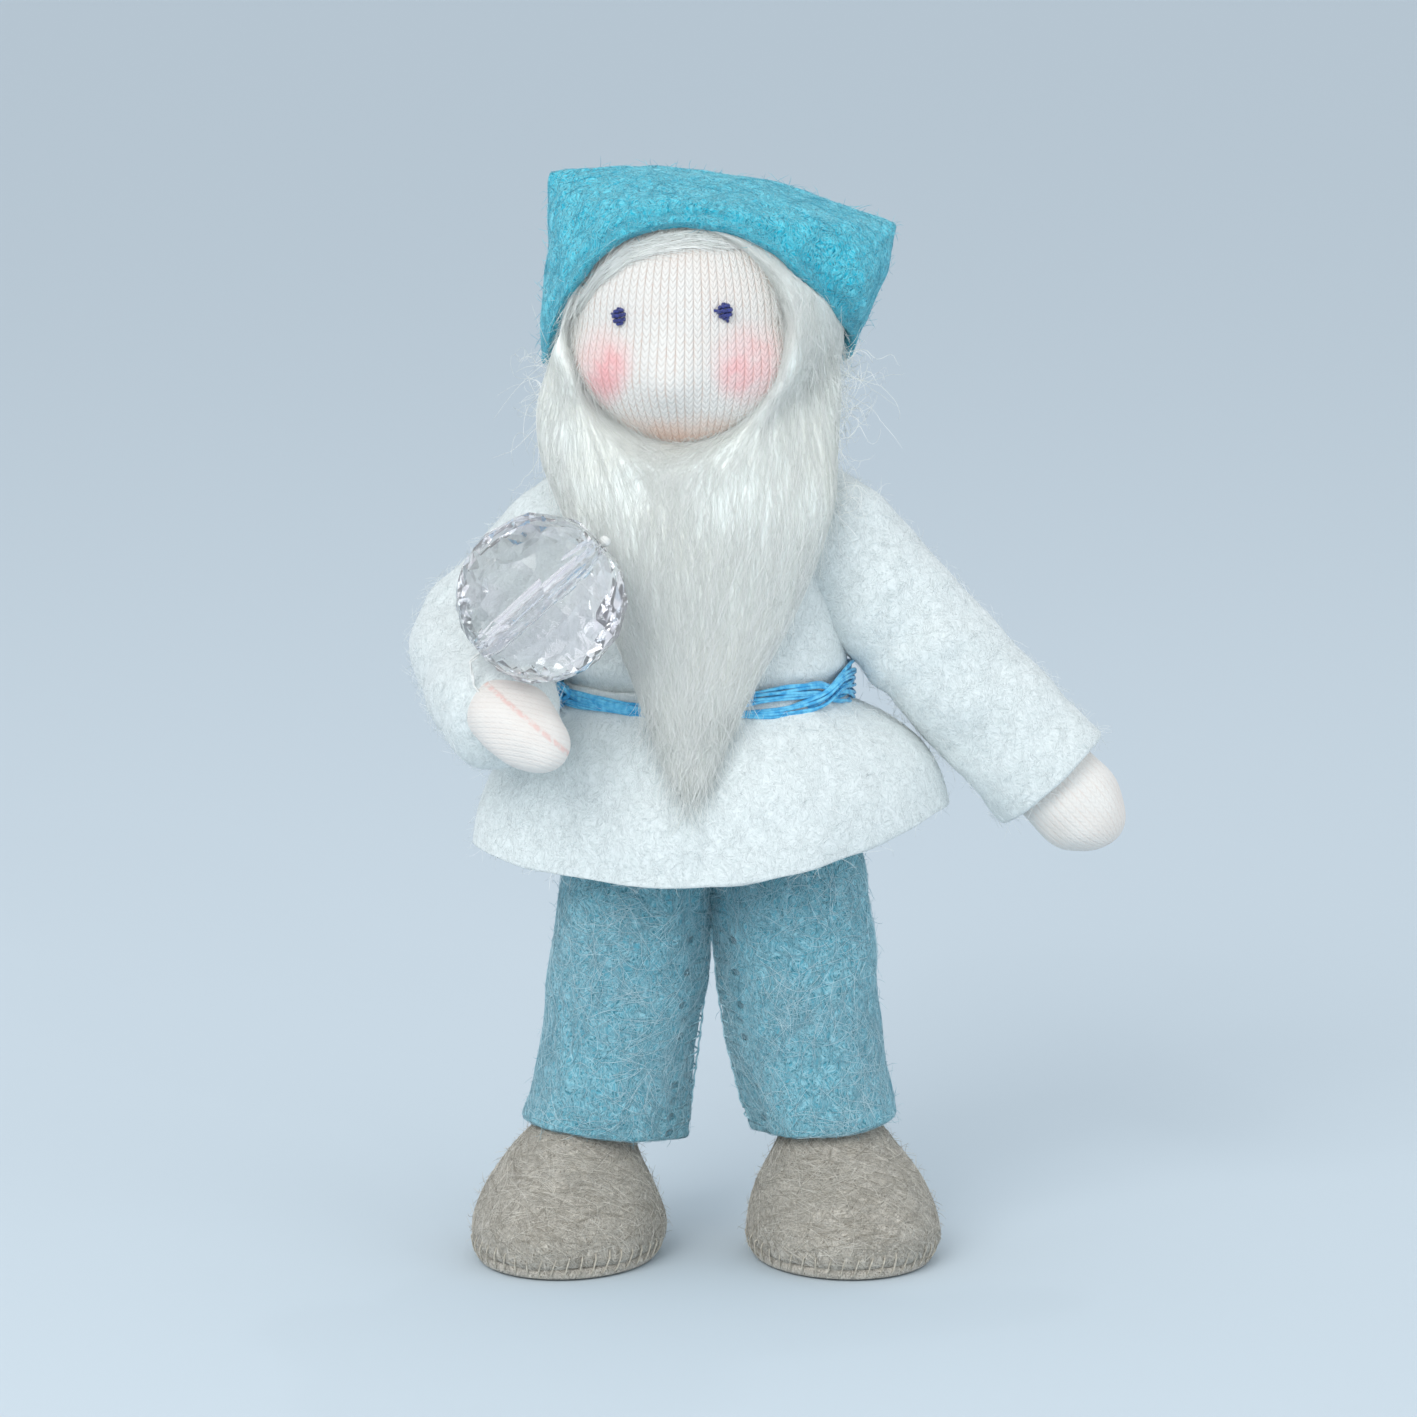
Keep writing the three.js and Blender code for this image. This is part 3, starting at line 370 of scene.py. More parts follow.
def fibres(name, source, look, seed, flow=None, allowed=None):
    # look: count, shortest and longest, thickness, how steeply they rise, how they curl, and how high
    # the ones that lie flat float over the surface
    rng = np.random.default_rng(seed)
    count, steps = look["count"], look.get("steps", 5)
    places, normals = surfaceSamples(source, count, rng, allowed)
    lengths = rng.uniform(look["shortest"], look["longest"], count) * mm
    free = rng.normal(size=(count, 3))
    heading = free
    if flow:
        heading = flow((places - np.array(spine)) / mm) + free * look.get("stray", 0.2)
    heading = unit(heading - normals * (heading * normals).sum(1, keepdims=True))
    rise = np.radians(rng.uniform(*look["rise"], count))
    curl = rng.normal(0, look["curl"], count)
    lies = look.get("float")
    tree = BVHTree.FromObject(source, bpy.context.evaluated_depsgraph_get()) if lies else None
    place = places - normals * 0.08 * mm
    paths = [place.copy()]
    for step in range(steps - 1):
        turn = curl + rng.normal(0, look["curl"] * 0.5, count)
        side = np.cross(normals, heading)
        heading = unit(heading * np.cos(turn)[:, None] + side * np.sin(turn)[:, None])
        lift = np.sin(rise)[:, None] * normals * (1 - 0.9 * step / steps)
        place = place + (heading * np.cos(rise)[:, None] + lift) * (lengths / (steps - 1))[:, None]
        if tree:
            height = lies * mm * math.sin(math.pi * min(1, (step + 1) / steps))
            for i in range(count):
                spot, normal = tree.find_nearest(Vector(place[i]))[:2]
                place[i] = spot + normal * height
                normals[i] = normal
            heading = unit(heading - normals * (heading * normals).sum(1, keepdims=True))
        paths.append(place.copy())
    thickness = look["thickness"] / 2 * mm * rng.uniform(0.7, 1.25, count)
    return hairMesh(name, np.stack(paths, axis=1), thickness)


# Materials


def put(tree, kind, settings=None, **inputs):
    # adds a node; an input is a value or another node's socket
    node = tree.nodes.new(kind)
    for key, value in (settings or {}).items():
        setattr(node, key, value)
    for key, value in inputs.items():
        socket = node.inputs[int(key[1:])] if key[0] == "_" else node.inputs[key.replace("_", " ")]
        if isinstance(value, bpy.types.NodeSocket):
            tree.links.new(value, socket)
        else:
            socket.default_value = value
    return node


def worked(tree, operation, a, b=0.0):
    return put(tree, "ShaderNodeMath", {"operation": operation}, _0=a, _1=b).outputs[0]


def times(tree, a, b):
    return worked(tree, "MULTIPLY", a, b)


def plus(tree, a, b):
    return worked(tree, "ADD", a, b)


def less(tree, a, b):
    return worked(tree, "SUBTRACT", a, b)


def mixed(tree, share, a, b):
    return put(tree, "ShaderNodeMix", {"data_type": "RGBA"}, _0=share, _6=a, _7=b).outputs[2]


def cloudy(tree, place, scale, detail):
    return put(tree, "ShaderNodeTexNoise", Vector=place, Scale=scale, Detail=detail).outputs[0]


def objectPlace(tree):
    return put(tree, "ShaderNodeTexCoord").outputs["Object"]


def moved(tree, operation, vector, by):
    return put(tree, "ShaderNodeVectorMath", {"operation": operation}, _0=vector, _1=by).outputs[0]


def ranged(tree, value, low, high, toLow=0.0, toHigh=1.0):
    return put(
        tree, "ShaderNodeMapRange", {"interpolation_type": "SMOOTHSTEP"},
        _0=value, _1=low, _2=high, _3=toLow, _4=toHigh,
    ).outputs[0]


def colour(red, green, blue):
    # from the 0 to 255 values that a screen shows
    def linear(value):
        value /= 255
        return value / 12.92 if value <= 0.04045 else ((value + 0.055) / 1.055) ** 2.4

    return (linear(red), linear(green), linear(blue), 1)


def newGroup(name, inputs, outputs):
    group = bpy.data.node_groups.new(name, "ShaderNodeTree")
    for key, kind in inputs.items():
        group.interface.new_socket(name=key, in_out="INPUT", socket_type="NodeSocket" + kind)
    for key, kind in outputs.items():
        group.interface.new_socket(name=key, in_out="OUTPUT", socket_type="NodeSocket" + kind)
    return group, group.nodes.new("NodeGroupInput").outputs, group.nodes.new("NodeGroupOutput").inputs


def feltGroup():
    # loose wool fibres that cross each other, painted shade in the pits between them, and slow random
    # changes of tone
    inputs = {"Place": "Vector", "Pits": "Color", "Wool": "Color", "Fibres": "Color", "Size": "Float"}
    tree, given, result = newGroup("woolFelt", inputs, {"Color": "Color", "Height": "Float"})
    size = worked(tree, "DIVIDE", 1.0, given["Size"])
    place = put(tree, "ShaderNodeVectorMath", {"operation": "SCALE"}, _0=given["Place"])
    tree.links.new(size, place.inputs["Scale"])
    place = place.outputs[0]
    bend = put(tree, "ShaderNodeTexNoise", Vector=place, Scale=0.22, Detail=1.0).outputs["Color"]
    bend = moved(tree, "SUBTRACT", bend, (0.5, 0.5, 0.5))
    bend = put(tree, "ShaderNodeVectorMath", {"operation": "SCALE"}, _0=bend, Scale=7.0).outputs[0]
    bent = moved(tree, "ADD", place, bend)
    lines = 0.0
    for turn, seed in (((0.2, 0.3, 0.1), 1.0), ((0.1, 1.35, 0.5), 4.0), ((0.9, 2.3, -0.6), 9.0)):
        laid = put(tree, "ShaderNodeMapping", Vector=bent, Rotation=turn, Scale=(1.0, 1.0, 0.13))
        laid.inputs["Location"].default_value = (seed, seed * 2, seed * 3)
        wool = cloudy(tree, laid.outputs[0], 1.1, 1.5)
        apart = worked(tree, "ABSOLUTE", less(tree, wool, 0.5))
        line = ranged(tree, apart, 0.055, 0.0)
        lines = worked(tree, "MAXIMUM", lines, line)
    pits = cloudy(tree, bent, 1.5, 2.0)
    pits = ranged(tree, pits, 0.5, 0.66)
    cloud = cloudy(tree, place, 0.07, 2.0)
    shade = ranged(tree, cloud, 0.3, 0.7, 0.25, 0.6)
    # painted shade: the pits between the fibres take the darker tone
    tone = mixed(tree, pits, given["Wool"], given["Pits"])
    tone = mixed(tree, times(tree, shade, 0.2), tone, given["Pits"])
    tone = mixed(tree, times(tree, lines, 0.7), tone, given["Fibres"])
    height = less(tree, times(tree, lines, 0.6), pits)
    tree.links.new(tone, result["Color"])
    tree.links.new(height, result["Height"])
    return tree


def knitGroup():
    # plain knitting: columns of V stitches, from a place counted in stitches
    outputs = {"Height": "Float", "Yarn": "Float"}
    tree, given, result = newGroup("plainKnit", {"Stitch": "Vector"}, outputs)
    axes = put(tree, "ShaderNodeSeparateXYZ", Vector=given["Stitch"]).outputs
    across = less(tree, worked(tree, "FRACT", axes[0]), 0.5)
    out = times(tree, worked(tree, "ABSOLUTE", across), 2.0)
    up = worked(tree, "FRACT", less(tree, axes[1], times(tree, out, 0.75)))
    leg = less(tree, 1.0, times(tree, out, out))
    leg = worked(tree, "SQRT", worked(tree, "MAXIMUM", leg, 0.0))
    leg = times(tree, leg, ranged(tree, out, 0.0, 0.3, 0.8, 1.0))
    bulge = worked(tree, "SINE", times(tree, up, math.pi))
    bulge = worked(tree, "SQRT", worked(tree, "MAXIMUM", bulge, 0.0))
    height = times(tree, leg, plus(tree, 0.4, times(tree, bulge, 0.6)))
    tree.links.new(height, result["Height"])
    tree.links.new(ranged(tree, height, 0.2, 0.75), result["Yarn"])
    return tree


woolFelt = feltGroup()
plainKnit = knitGroup()


def newMaterial(name, **sockets):
    material = bpy.data.materials.new(name)
    material.use_nodes = True
    tree = material.node_tree
    shader = tree.nodes["Principled BSDF"]
    for key, value in sockets.items():
        shader.inputs[key.replace("_", " ")].default_value = value
    return material, tree, shader


def groupNode(tree, group, **inputs):
    return put(tree, "ShaderNodeGroup", {"node_tree": group}, **inputs).outputs


def feltMaterial(name, pits, wool, fibre, size, relief):
    # size and relief, in mm, are those of the crossing fibres
    material, tree, shader = newMaterial(
        name, Roughness=0.95, Sheen_Weight=0.35, Sheen_Roughness=0.5, Specular_IOR_Level=0.15
    )
    place = objectPlace(tree)
    made = groupNode(tree, woolFelt, Place=place, Pits=pits, Wool=wool, Fibres=fibre, Size=size * mm)
    tree.links.new(made["Color"], shader.inputs["Base Color"])
    bump = put(tree, "ShaderNodeBump", Strength=0.9, Distance=relief * mm, Height=made["Height"])
    tree.links.new(bump.outputs[0], shader.inputs["Normal"])
    return material


def hairMaterial(name, dark, light, roughness=0.7):
    # single hairs, each a little lighter or darker than the next
    material, tree, shader = newMaterial(
        name, Roughness=roughness, Sheen_Weight=0.2, Sheen_Roughness=0.4, Specular_IOR_Level=0.3
    )
    shade = put(tree, "ShaderNodeAttribute", {"attribute_name": "shade"}).outputs["Fac"]
    tree.links.new(mixed(tree, shade, dark, light), shader.inputs["Base Color"])
    return material


def wear(obj, material):
    obj.data.materials.clear()
    obj.data.materials.append(material)


def flecked(name, scale, detail, dark, light, low=0.3, high=0.7, **sockets):
    # two tones that change slowly along the piece
    material, tree, shader = newMaterial(name, **sockets)
    share = cloudy(tree, objectPlace(tree), scale / mm, detail)
    tone = mixed(tree, ranged(tree, share, low, high), dark, light)
    tree.links.new(tone, shader.inputs["Base Color"])
    return material


# each felt: the painted shade in its pits, its wool, its loose fibres, then the size and relief of the
# fibres
turquoiseFelt = feltMaterial(
    "turquoiseFelt", colour(6, 128, 154), colour(42, 186, 212), colour(128, 227, 241), 0.34, 0.07
)
blueFelt = feltMaterial(
    "dustyBlueFelt", colour(62, 132, 148), colour(100, 170, 188), colour(168, 216, 227), 0.36, 0.07
)
greyFelt = feltMaterial(
    "warmGreyFelt", colour(138, 131, 118), colour(184, 178, 166), colour(220, 214, 203), 0.32, 0.07
)
whiteFelt = feltMaterial(
    "whiteFelt", colour(208, 216, 215), colour(219, 227, 226), colour(234, 240, 240), 0.36, 0.03
)
whiteHair = hairMaterial("looseWhiteWool", colour(220, 228, 228), colour(248, 251, 251))
turquoiseHair = hairMaterial("looseTurquoiseWool", colour(20, 160, 190), colour(150, 230, 240))
blueHair = hairMaterial("looseBlueWool", colour(104, 168, 186), colour(216, 241, 247))
greyHair = hairMaterial("looseGreyWool", colour(152, 145, 131), colour(238, 234, 224))


def addEdgeShade(material, tone):
    # darkens a felt along its cut edge, and paints shadow into the groove over it, by the share that its
    # mesh holds
    tree = material.node_tree
    shader = tree.nodes["Principled BSDF"]
    share = put(tree, "ShaderNodeAttribute", {"attribute_name": "edgeBandAndPaintedGrooveShadow"}).outputs["Fac"]
    base = shader.inputs["Base Color"].links[0].from_socket
    tree.links.new(mixed(tree, share, base, tone), shader.inputs["Base Color"])


# the hat's felt, with a darker band along the cut edge and painted shadow in the groove over it
hatFelt = turquoiseFelt.copy()
hatFelt.name = "hatFelt"
addEdgeShade(hatFelt, colour(14, 140, 166))

print("materials ready")

# Hat: a flat bag of turquoise felt with two corners, open along the face

hatLook = {
    # height over the head's middle, half width, half depth, and the ring's middle aside and back
    "rings": [
        (13.2, 15.2, 1.2, 1.9, 0.1),
        (11.9, 15.6, 5.6, 1.9, 0.1),
        (9.9, 15.5, 9.6, 1.9, -0.2),
        (5.5, 15.3, 12.6, 1.6, -0.6),
        (2.5, 14.9, 13.6, 0.9, -1),
        (-3.2, 14.45, 14.1, -0.15, -1.6),
        (-9, 14, 13.4, -0.6, -1.8),
    ],
    "seamFall": 5.3,  # how far the seam drops from its highest point to the right corner
    "seamTop": -8,  # where that highest point is, aside
    "wall": 1.3,
    # the open edge over the face: aside of the spine, and height over the head's middle
    "arch": [
        (-14.8, -6), (-14.3, -3), (-12.9, 1.4), (-10.4, 5.2), (-7.4, 7.6), (-4.2, 8.7), (-0.6, 9.3),
        (4, 9), (8.2, 7.6), (11.4, 5.3), (13.2, 2.4), (14.3, -0.6), (14.8, -2.6), (15.2, -4),
    ],
    "back": -4.8,
    "backRoom": 1.4,  # the back stands out this much further, over the hair
    "cutEdge": 1.25,  # how much of the felt's thickness shows along the opening
    "rollReach": 3.6,
    "roll": 0.6,
    # each fold goes through a place, aside and up, at a slant; the last value is its width
    "folds": [(11.3, 97, 0.2, 1.1), (-10.6, 94, -0.75, 1)],
}


def hatEdge(x, y):
    # the open edge's height over the floor: an arch in front, level at the back
    arch = np.array(hatLook["arch"])
    front = headZ + np.interp(x, arch[:, 0], arch[:, 1])
    return front + (headZ + hatLook["back"] - front) * eased((y + 3) / 5)


def overHatEdge(points):
    return points[:, 2] - hatEdge(points[:, 0], points[:, 1])


def makeHat():
    look = hatLook
    rings = [(headZ + z, w, d, x, headY + y) for z, w, d, x, y in look["rings"]]
    hat = loft("hat_felt", rings, sides=64, steps=4)
    bottom = rings[-1][0] + 0.3
    cutOff(hat, Vector((0, 0, bottom * mm)), (0, 0, -1))
    points = meshPoints(hat) / mm
    # every column of points is slid up until it ends on the open edge
    curve = np.array(between(rings, 6))[::-1]

    def ringAt(height, k):
        return np.interp(height, curve[:, 0], curve[:, k])

    across = (points[:, 0] - ringAt(points[:, 2], 3)) / ringAt(points[:, 2], 1)
    back = (points[:, 1] - ringAt(points[:, 2], 4)) / ringAt(points[:, 2], 2)
    end = np.full(len(points), headZ)
    for i in range(12):
        x = ringAt(end, 3) + across * ringAt(end, 1)
        y = ringAt(end, 4) + back * ringAt(end, 2)
        end += (hatEdge(x, y) - end) * 0.5
    top = rings[0][0]
    points[:, 2] = top - (top - points[:, 2]) * (top - end) / (top - bottom)
    points[:, 0] = ringAt(points[:, 2], 3) + across * ringAt(points[:, 2], 1)
    points[:, 1] = ringAt(points[:, 2], 4) + back * ringAt(points[:, 2], 2)
    points[:, 1] += look["backRoom"] * np.clip(points[:, 1] / 7, 0, 1) ** 1.5
    # near the top seam the front and the back meet in two sharp corners
    over = np.interp(points[:, 2], curve[:, 0], np.linspace(0, 1, len(curve)) ** 1.5)
    flat = np.clip(over * 1.6 - 0.5, 0, 1) * 0.9
    points[:, 1] *= 1 + (np.sqrt(1 - np.clip(np.abs(across), 0, 1) ** 2) - 1) * flat
    fromTop = (points[:, 0] - rings[0][3] - look["seamTop"]) / (rings[0][1] - look["seamTop"])
    points[:, 2] -= over * look["seamFall"] * fromTop**2
    # soft folds: one from the right corner down to the edge, a slanting one under the left corner
    front = np.clip(-points[:, 1] / 4, 0, 1)
    rightFold, leftFold = (
        (points[:, 0] - x - (z - points[:, 2]) * slant) / wide for x, z, slant, wide in look["folds"]
    )
    points[:, 1] += front * (1.1 * np.exp(-(rightFold**2)) - 0.5 * np.exp(-((rightFold + 2) ** 2) / 2))
    points[:, 1] += front * 0.6 * np.exp(-(leftFold**2))
    # the edge rolls in towards the forehead
    near = np.clip(1 - overHatEdge(points) / look["rollReach"], 0, 1) ** 1.6
    near *= np.clip((1 - points[:, 1]) / 5, 0, 1)
    head = np.array([headX, headY, headZ])
    reach = np.linalg.norm(points - head, axis=1)
    wanted = np.minimum(reach, headRadius + 1.5)
    points = head + (points - head) * (1 + (wanted / reach - 1) * near * look["roll"])[:, None]
    setLocal(hat, points)
    # the felt gets thin inside its sharp corners, where there is no room for two walls
    narrow = np.sqrt(1 - np.clip(np.abs(across), 0, 1) ** 2)
    room = ringAt(points[:, 2], 2) * narrow * 0.6 / look["wall"]
    thin = 1 + (np.clip(room, 0.05, 1) - 1) * np.clip(flat * 3, 0, 1)
    walls = hat.vertex_groups.new(name="walls")
    for i, share in enumerate(thin):
        walls.add([i], float(share), "REPLACE")
    outside(hat)
    rimPoints(hat)
    bpy.ops.object.mode_set(mode="OBJECT")
    rim = KDTree(len(hat.data.vertices))
    for v in hat.data.vertices:
        if v.select:
            rim.insert(v.co, v.index)
    rim.balance()
    useModifier(hat, "SOLIDIFY", thickness=look["wall"] * mm, offset=-1, vertex_group="walls",
                thickness_vertex_group=0.05)
    smoothSurface(hat, 1)
    waves(hat, 3.5, 0.3, 1)
    waves(hat, 1.2, 0.03, 2)
    # the cut edge is a darker band with a shallow groove over it; the groove also gets painted shadow
    points = meshPoints(hat)
    fromRim = np.array([rim.find(p)[2] for p in points]) / mm
    band = np.clip((look["cutEdge"] - fromRim) / 0.35 + 0.5, 0, 1)
    groove = np.exp(-(((fromRim - look["cutEdge"] - 0.15) / 0.4) ** 2)) * 0.2
    normals = meshNormals(hat)
    setPoints(hat, points - normals * ((band * 0.1 + groove) * mm)[:, None])
    # the attribute darkens the edge band and paints shadow in the groove
    shade = hat.data.attributes.new("edgeBandAndPaintedGrooveShadow", "FLOAT", "POINT")
    shade.data.foreach_set("value", np.maximum(band * 0.25, groove * 2))
    wear(hat, hatFelt)
    smoothShade(hat)
    return hat


hat = makeHat()
hatFuzz = fibres(
    "hat_fuzz", hat,
    {"count": 2200, "shortest": 0.7, "longest": 2, "thickness": 0.036, "rise": (5, 50), "curl": 0.35,
     "steps": 4},
    11,
)
hatFibres = fibres(
    "hat_fibres", hat,
    {"count": 4800, "shortest": 1.6, "longest": 4.6, "thickness": 0.034, "rise": (0, 4), "curl": 0.2,
     "float": 0.06, "steps": 6},
    12,
)
for piece in (hatFuzz, hatFibres):
    wear(piece, turquoiseHair)
for piece in (hat, hatFuzz, hatFibres):
    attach(piece, "head")
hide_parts("hat")
print("hat ready")

# Head: knitted skin over a wool ball, with a small stuffed nose, blush and two knotted eyes

faceLook = {
    # where the skin stands out: the place, how wide and how far
    "bumps": [((-1.4, -10.6, -4.1), 2.7, 1.7), ((-0.9, -7.4, -8.9), 5.2, 0.5)],
    # the lower face is fuller than a ball: half width, half depth, and how square its section is
    "full": (12, 11.6, 2.9),
    "wales": 96,
    "course": 0.62,
    "neckDrop": 4.2,
    "turn": -9,  # the middle wale's place, from straight ahead
}


def stitchMap(obj, middle, axis, front, wales, course, onBall=True):
    # a UV map counted in stitches: columns round the axis, rows along it
    axis, front = np.array(axis), np.array(front)
    side = np.cross(axis, front)
    mesh = obj.data
    points = (meshPoints(obj) - np.array(middle)) / mm
    corners = loopVertices(mesh)
    angles = np.arctan2(points @ side, points @ front)[corners]
    owners = np.repeat(np.arange(len(mesh.polygons)), [p.loop_total for p in mesh.polygons])
    centres = np.array([p.center for p in mesh.polygons])
    centres = (centres - np.array(middle)) / mm
    own = np.arctan2(centres @ side, centres @ front)[owners]
    angles = own + (angles - own + math.pi) % (2 * math.pi) - math.pi
    along = points @ axis
    if onBall:
        reach = np.linalg.norm(points, axis=1)
        along = np.arcsin(np.clip(along / reach, -1, 1)) * reach
    stitches = np.stack([angles / (2 * math.pi) * wales, along[corners] / course], axis=1)
    addMap(mesh, "stitches", stitches)


def knitMaterial(name, blushShadeAndTintSpots=(), seam=None, openness=1.0):
    # seam is a place and a normal: pink stitches run where that plane meets the knitting
    material, tree, shader = newMaterial(
        name, Roughness=0.85, Sheen_Weight=0.15, Sheen_Roughness=0.5, Specular_IOR_Level=0.2
    )
    stitch = put(tree, "ShaderNodeUVMap", {"uv_map": "stitches"}).outputs[0]
    place = objectPlace(tree)
    made = groupNode(tree, plainKnit, Stitch=stitch)
    patchy = cloudy(tree, place, 0.8 / mm, 2.0)
    # the gaps between the stitches are painted darker and warmer, as shade
    shadedGaps = less(tree, 1.0, made["Yarn"])
    shadedGaps = times(tree, shadedGaps, ranged(tree, patchy, 0.3, 0.7, 0.2 * openness, openness))
    tone = mixed(tree, shadedGaps, colour(235, 232, 227), colour(228, 211, 200))
    drift = cloudy(tree, place, 0.18 / mm, 2.0)
    tone = mixed(tree, ranged(tree, drift, 0.4, 0.75, 0.0, 0.25), tone, colour(234, 216, 204))
    # each spot is a pink blush, a patch of painted shade, or an even tint: its middle, reach, turn,
    # strength and colour
    for middle, reach, turn, strength, pink in blushShadeAndTintSpots:
        settings = {"vector_type": "TEXTURE"}
        spot = put(tree, "ShaderNodeMapping", settings, Vector=place, Location=middle,
                   Rotation=(0, math.radians(turn), 0), Scale=reach)
        settings = {"gradient_type": "SPHERICAL"}
        glow = put(tree, "ShaderNodeTexGradient", settings, Vector=spot.outputs[0])
        share = ranged(tree, glow.outputs[1], 0.0, 0.75, 0.0, strength)
        share = times(tree, share, ranged(tree, patchy, 0.25, 0.6, 0.65, 1.0))
        tone = mixed(tree, share, tone, pink)
    tree.links.new(tone, shader.inputs["Base Color"])
    fine = cloudy(tree, place, 7 / mm, 1.0)
    height = plus(tree, made["Height"], times(tree, fine, 0.4))
    if seam:
        away = moved(tree, "SUBTRACT", place, seam[0])
        away = put(tree, "ShaderNodeVectorMath", {"operation": "DOT_PRODUCT"}, _0=away, _1=seam[1])
        away = worked(tree, "ABSOLUTE", away.outputs["Value"])
        near = ranged(tree, away, 0.36 * mm, 0.06 * mm)
        spots = cloudy(tree, place, 2.2 / mm, 1.0)
        share = times(tree, near, ranged(tree, spots, 0.35, 0.6, 0.1, 0.5))
        tree.links.new(mixed(tree, share, tone, colour(232, 176, 166)), shader.inputs["Base Color"])
        height = plus(tree, height, times(tree, share, 1.2))
    bump = put(tree, "ShaderNodeBump", Strength=openness, Distance=0.15 * mm, Height=height)
    tree.links.new(bump.outputs[0], shader.inputs["Normal"])
    return material


def onFace(x, z):
    # a place in the part's frame on the front of the head, from its middle
    return headMiddle + Vector((x, -math.sqrt(headRadius**2 - x * x - z * z), z)) * mm


pink = colour(250, 142, 150)
paintedChinShade = colour(242, 176, 136)
faceKnit = knitMaterial("faceKnit", [
    (onFace(-6.8, -4.5), Vector((2.6, 6, 4.4)) * mm, 28, 0.55, pink),
    (onFace(-7.9, -3.3), Vector((3, 6, 4)) * mm, 20, 0.25, pink),
    (onFace(5.4, -3.7), Vector((4.6, 7, 4.8)) * mm, -32, 0.38, pink),
    (onFace(3.9, -4.6), Vector((2.2, 6, 2.6)) * mm, 0, 0.25, pink),
    # painted warm shade under the nose and on the chin
    (onFace(-0.6, -9.6), Vector((7.5, 6, 3.4)) * mm, 0, 0.6, paintedChinShade),
])


def lowFace(z):
    # 0 at the eyes and above, 1 from the nose down
    return eased((0.3 - z) / 5)


def skinDepth(flat):
    # how far in front of the head's middle the skin lies, at places seen from the front
    halfWidth, halfDepth, power = faceLook["full"]
    apart = np.linalg.norm(flat, axis=1)
    ball = np.sqrt(np.maximum(headRadius**2 - apart**2, 1))
    full = halfDepth * np.maximum(1 - (apart / halfWidth) ** power, 0.01) ** (1 / power)
    depth = ball + (full - ball) * lowFace(flat[:, 1])
    places = np.stack([flat[:, 0], -depth, flat[:, 1]], axis=1)
    return depth + sum(skinLift(places))


def skinLift(points):
    # how far each bump lifts the skin at some places, given from the head's middle
    lifts = []
    for place, reach, rise in faceLook["bumps"]:
        apart = np.linalg.norm(unit(points) - unit(np.array(place)), axis=1) * headRadius
        lifts.append(np.exp(-((apart / reach) ** 2)) * rise)
    return lifts


def makeFace():
    look = faceLook
    deselectAll()
    bpy.ops.mesh.primitive_uv_sphere_add(
        segments=128, ring_count=96, radius=headRadius * mm, location=headMiddle
    )
    skin = bpy.context.object
    skin.name = "face_knit"
    settle(skin)
    points = (meshPoints(skin) - np.array(headMiddle)) / mm
    below = points[:, 2] < -headRadius * 0.93
    halfWidth, halfDepth, power = look["full"]
    way = np.abs(points) / headRadius
    apart = np.hypot(way[:, 0], way[:, 2])
    full = ((apart / halfWidth) ** power + (way[:, 1] / halfDepth) ** power) ** (-1 / power)
    share = lowFace(points[:, 2]) * np.clip(-points[:, 1] / 4, 0, 1)
    lifts = skinLift(points)
    points *= (1 + (full / headRadius - 1) * share)[:, None]
    for bump, lift in zip(look["bumps"], lifts):
        points += lift[:, None] * unit(np.array(bump[0]))
    setPoints(skin, points * mm + np.array(headMiddle))
    pick(skin)
    bpy.ops.object.mode_set(mode="EDIT")
    bpy.ops.mesh.select_mode(type="FACE")
    bpy.ops.mesh.select_all(action="DESELECT")
    bpy.ops.object.mode_set(mode="OBJECT")
    for polygon in skin.data.polygons:
        polygon.select = all(below[i] for i in polygon.vertices)
    bpy.ops.object.mode_set(mode="EDIT")
    for row in range(2):
        drop = (0, 0, -look["neckDrop"] / 2 * mm)
        bpy.ops.mesh.extrude_region_move(TRANSFORM_OT_translate={"value": drop})
    bpy.ops.object.mode_set(mode="OBJECT")
    turn = math.radians(look["turn"])
    front = (math.sin(turn), -math.cos(turn), 0)
    stitchMap(skin, headMiddle, (0, 0, 1), front, look["wales"], look["course"])
    wear(skin, faceKnit)
    smoothShade(skin)
    return skin


face = makeFace()
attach(face, "head")
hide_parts("head_skin", "head_wool_ball", "nose_pad")

navyFloss = flecked("navyFloss", 5, 2.0, colour(22, 30, 92), colour(54, 66, 146),
                    Roughness=0.5, Sheen_Weight=0.2)


knotLook = {"turns": 4.2, "deep": 0.55, "twists": 17, "apart": 0.07, "ply": 0.13}


def makeEye(side, x, z, wide, tall, tails):
    # a French knot: floss wound into a small ball, two fine plies to the strand
    look = knotLook
    middle = onFace(x, z)
    out = (middle - headMiddle).normalized()
    aside = out.cross(Vector((0, 0, 1))).normalized()
    up = aside.cross(out)
    middle = middle + out * 0.25 * mm
    lines = []
    for ply in (0, math.pi):
        line = []
        for i in range(90):
            t = i / 89
            turn = t * 2 * math.pi * look["turns"]
            tilt = (t - 0.5) * math.pi * 0.92
            reach = math.cos(tilt)
            twist = ply + t * 2 * math.pi * look["twists"]
            spot = aside * math.cos(turn) * reach * wide + out * math.sin(turn) * reach * look["deep"]
            spot += up * (math.sin(tilt) * tall)
            spot += (out * math.cos(twist) + up * math.sin(twist)) * look["apart"]
            line.append(middle + spot * mm)
        lines.append(line)
    for dx, dz in tails:
        end = middle + (aside * dx + up * dz) * mm - out * 0.2 * mm
        lines.append([middle, (middle + end) / 2 + out * 0.1 * mm, end])
    knot = threads(side + "_eye_knot", lines, look["ply"])
    wear(knot, navyFloss)
    smoothShade(knot)
    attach(knot, "head")
    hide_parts(side + "_eye")


makeEye("right", -6, 0.55, 0.5, 0.66, [(0.9, 0.2)])
makeEye("left", 3.15, 1.1, 0.6, 0.62, [(0.95, 0.1), (-0.3, -0.95)])
print("face ready")

# Fleece: hair round the back of the head and the long combed beard, made as one and parted at the ears

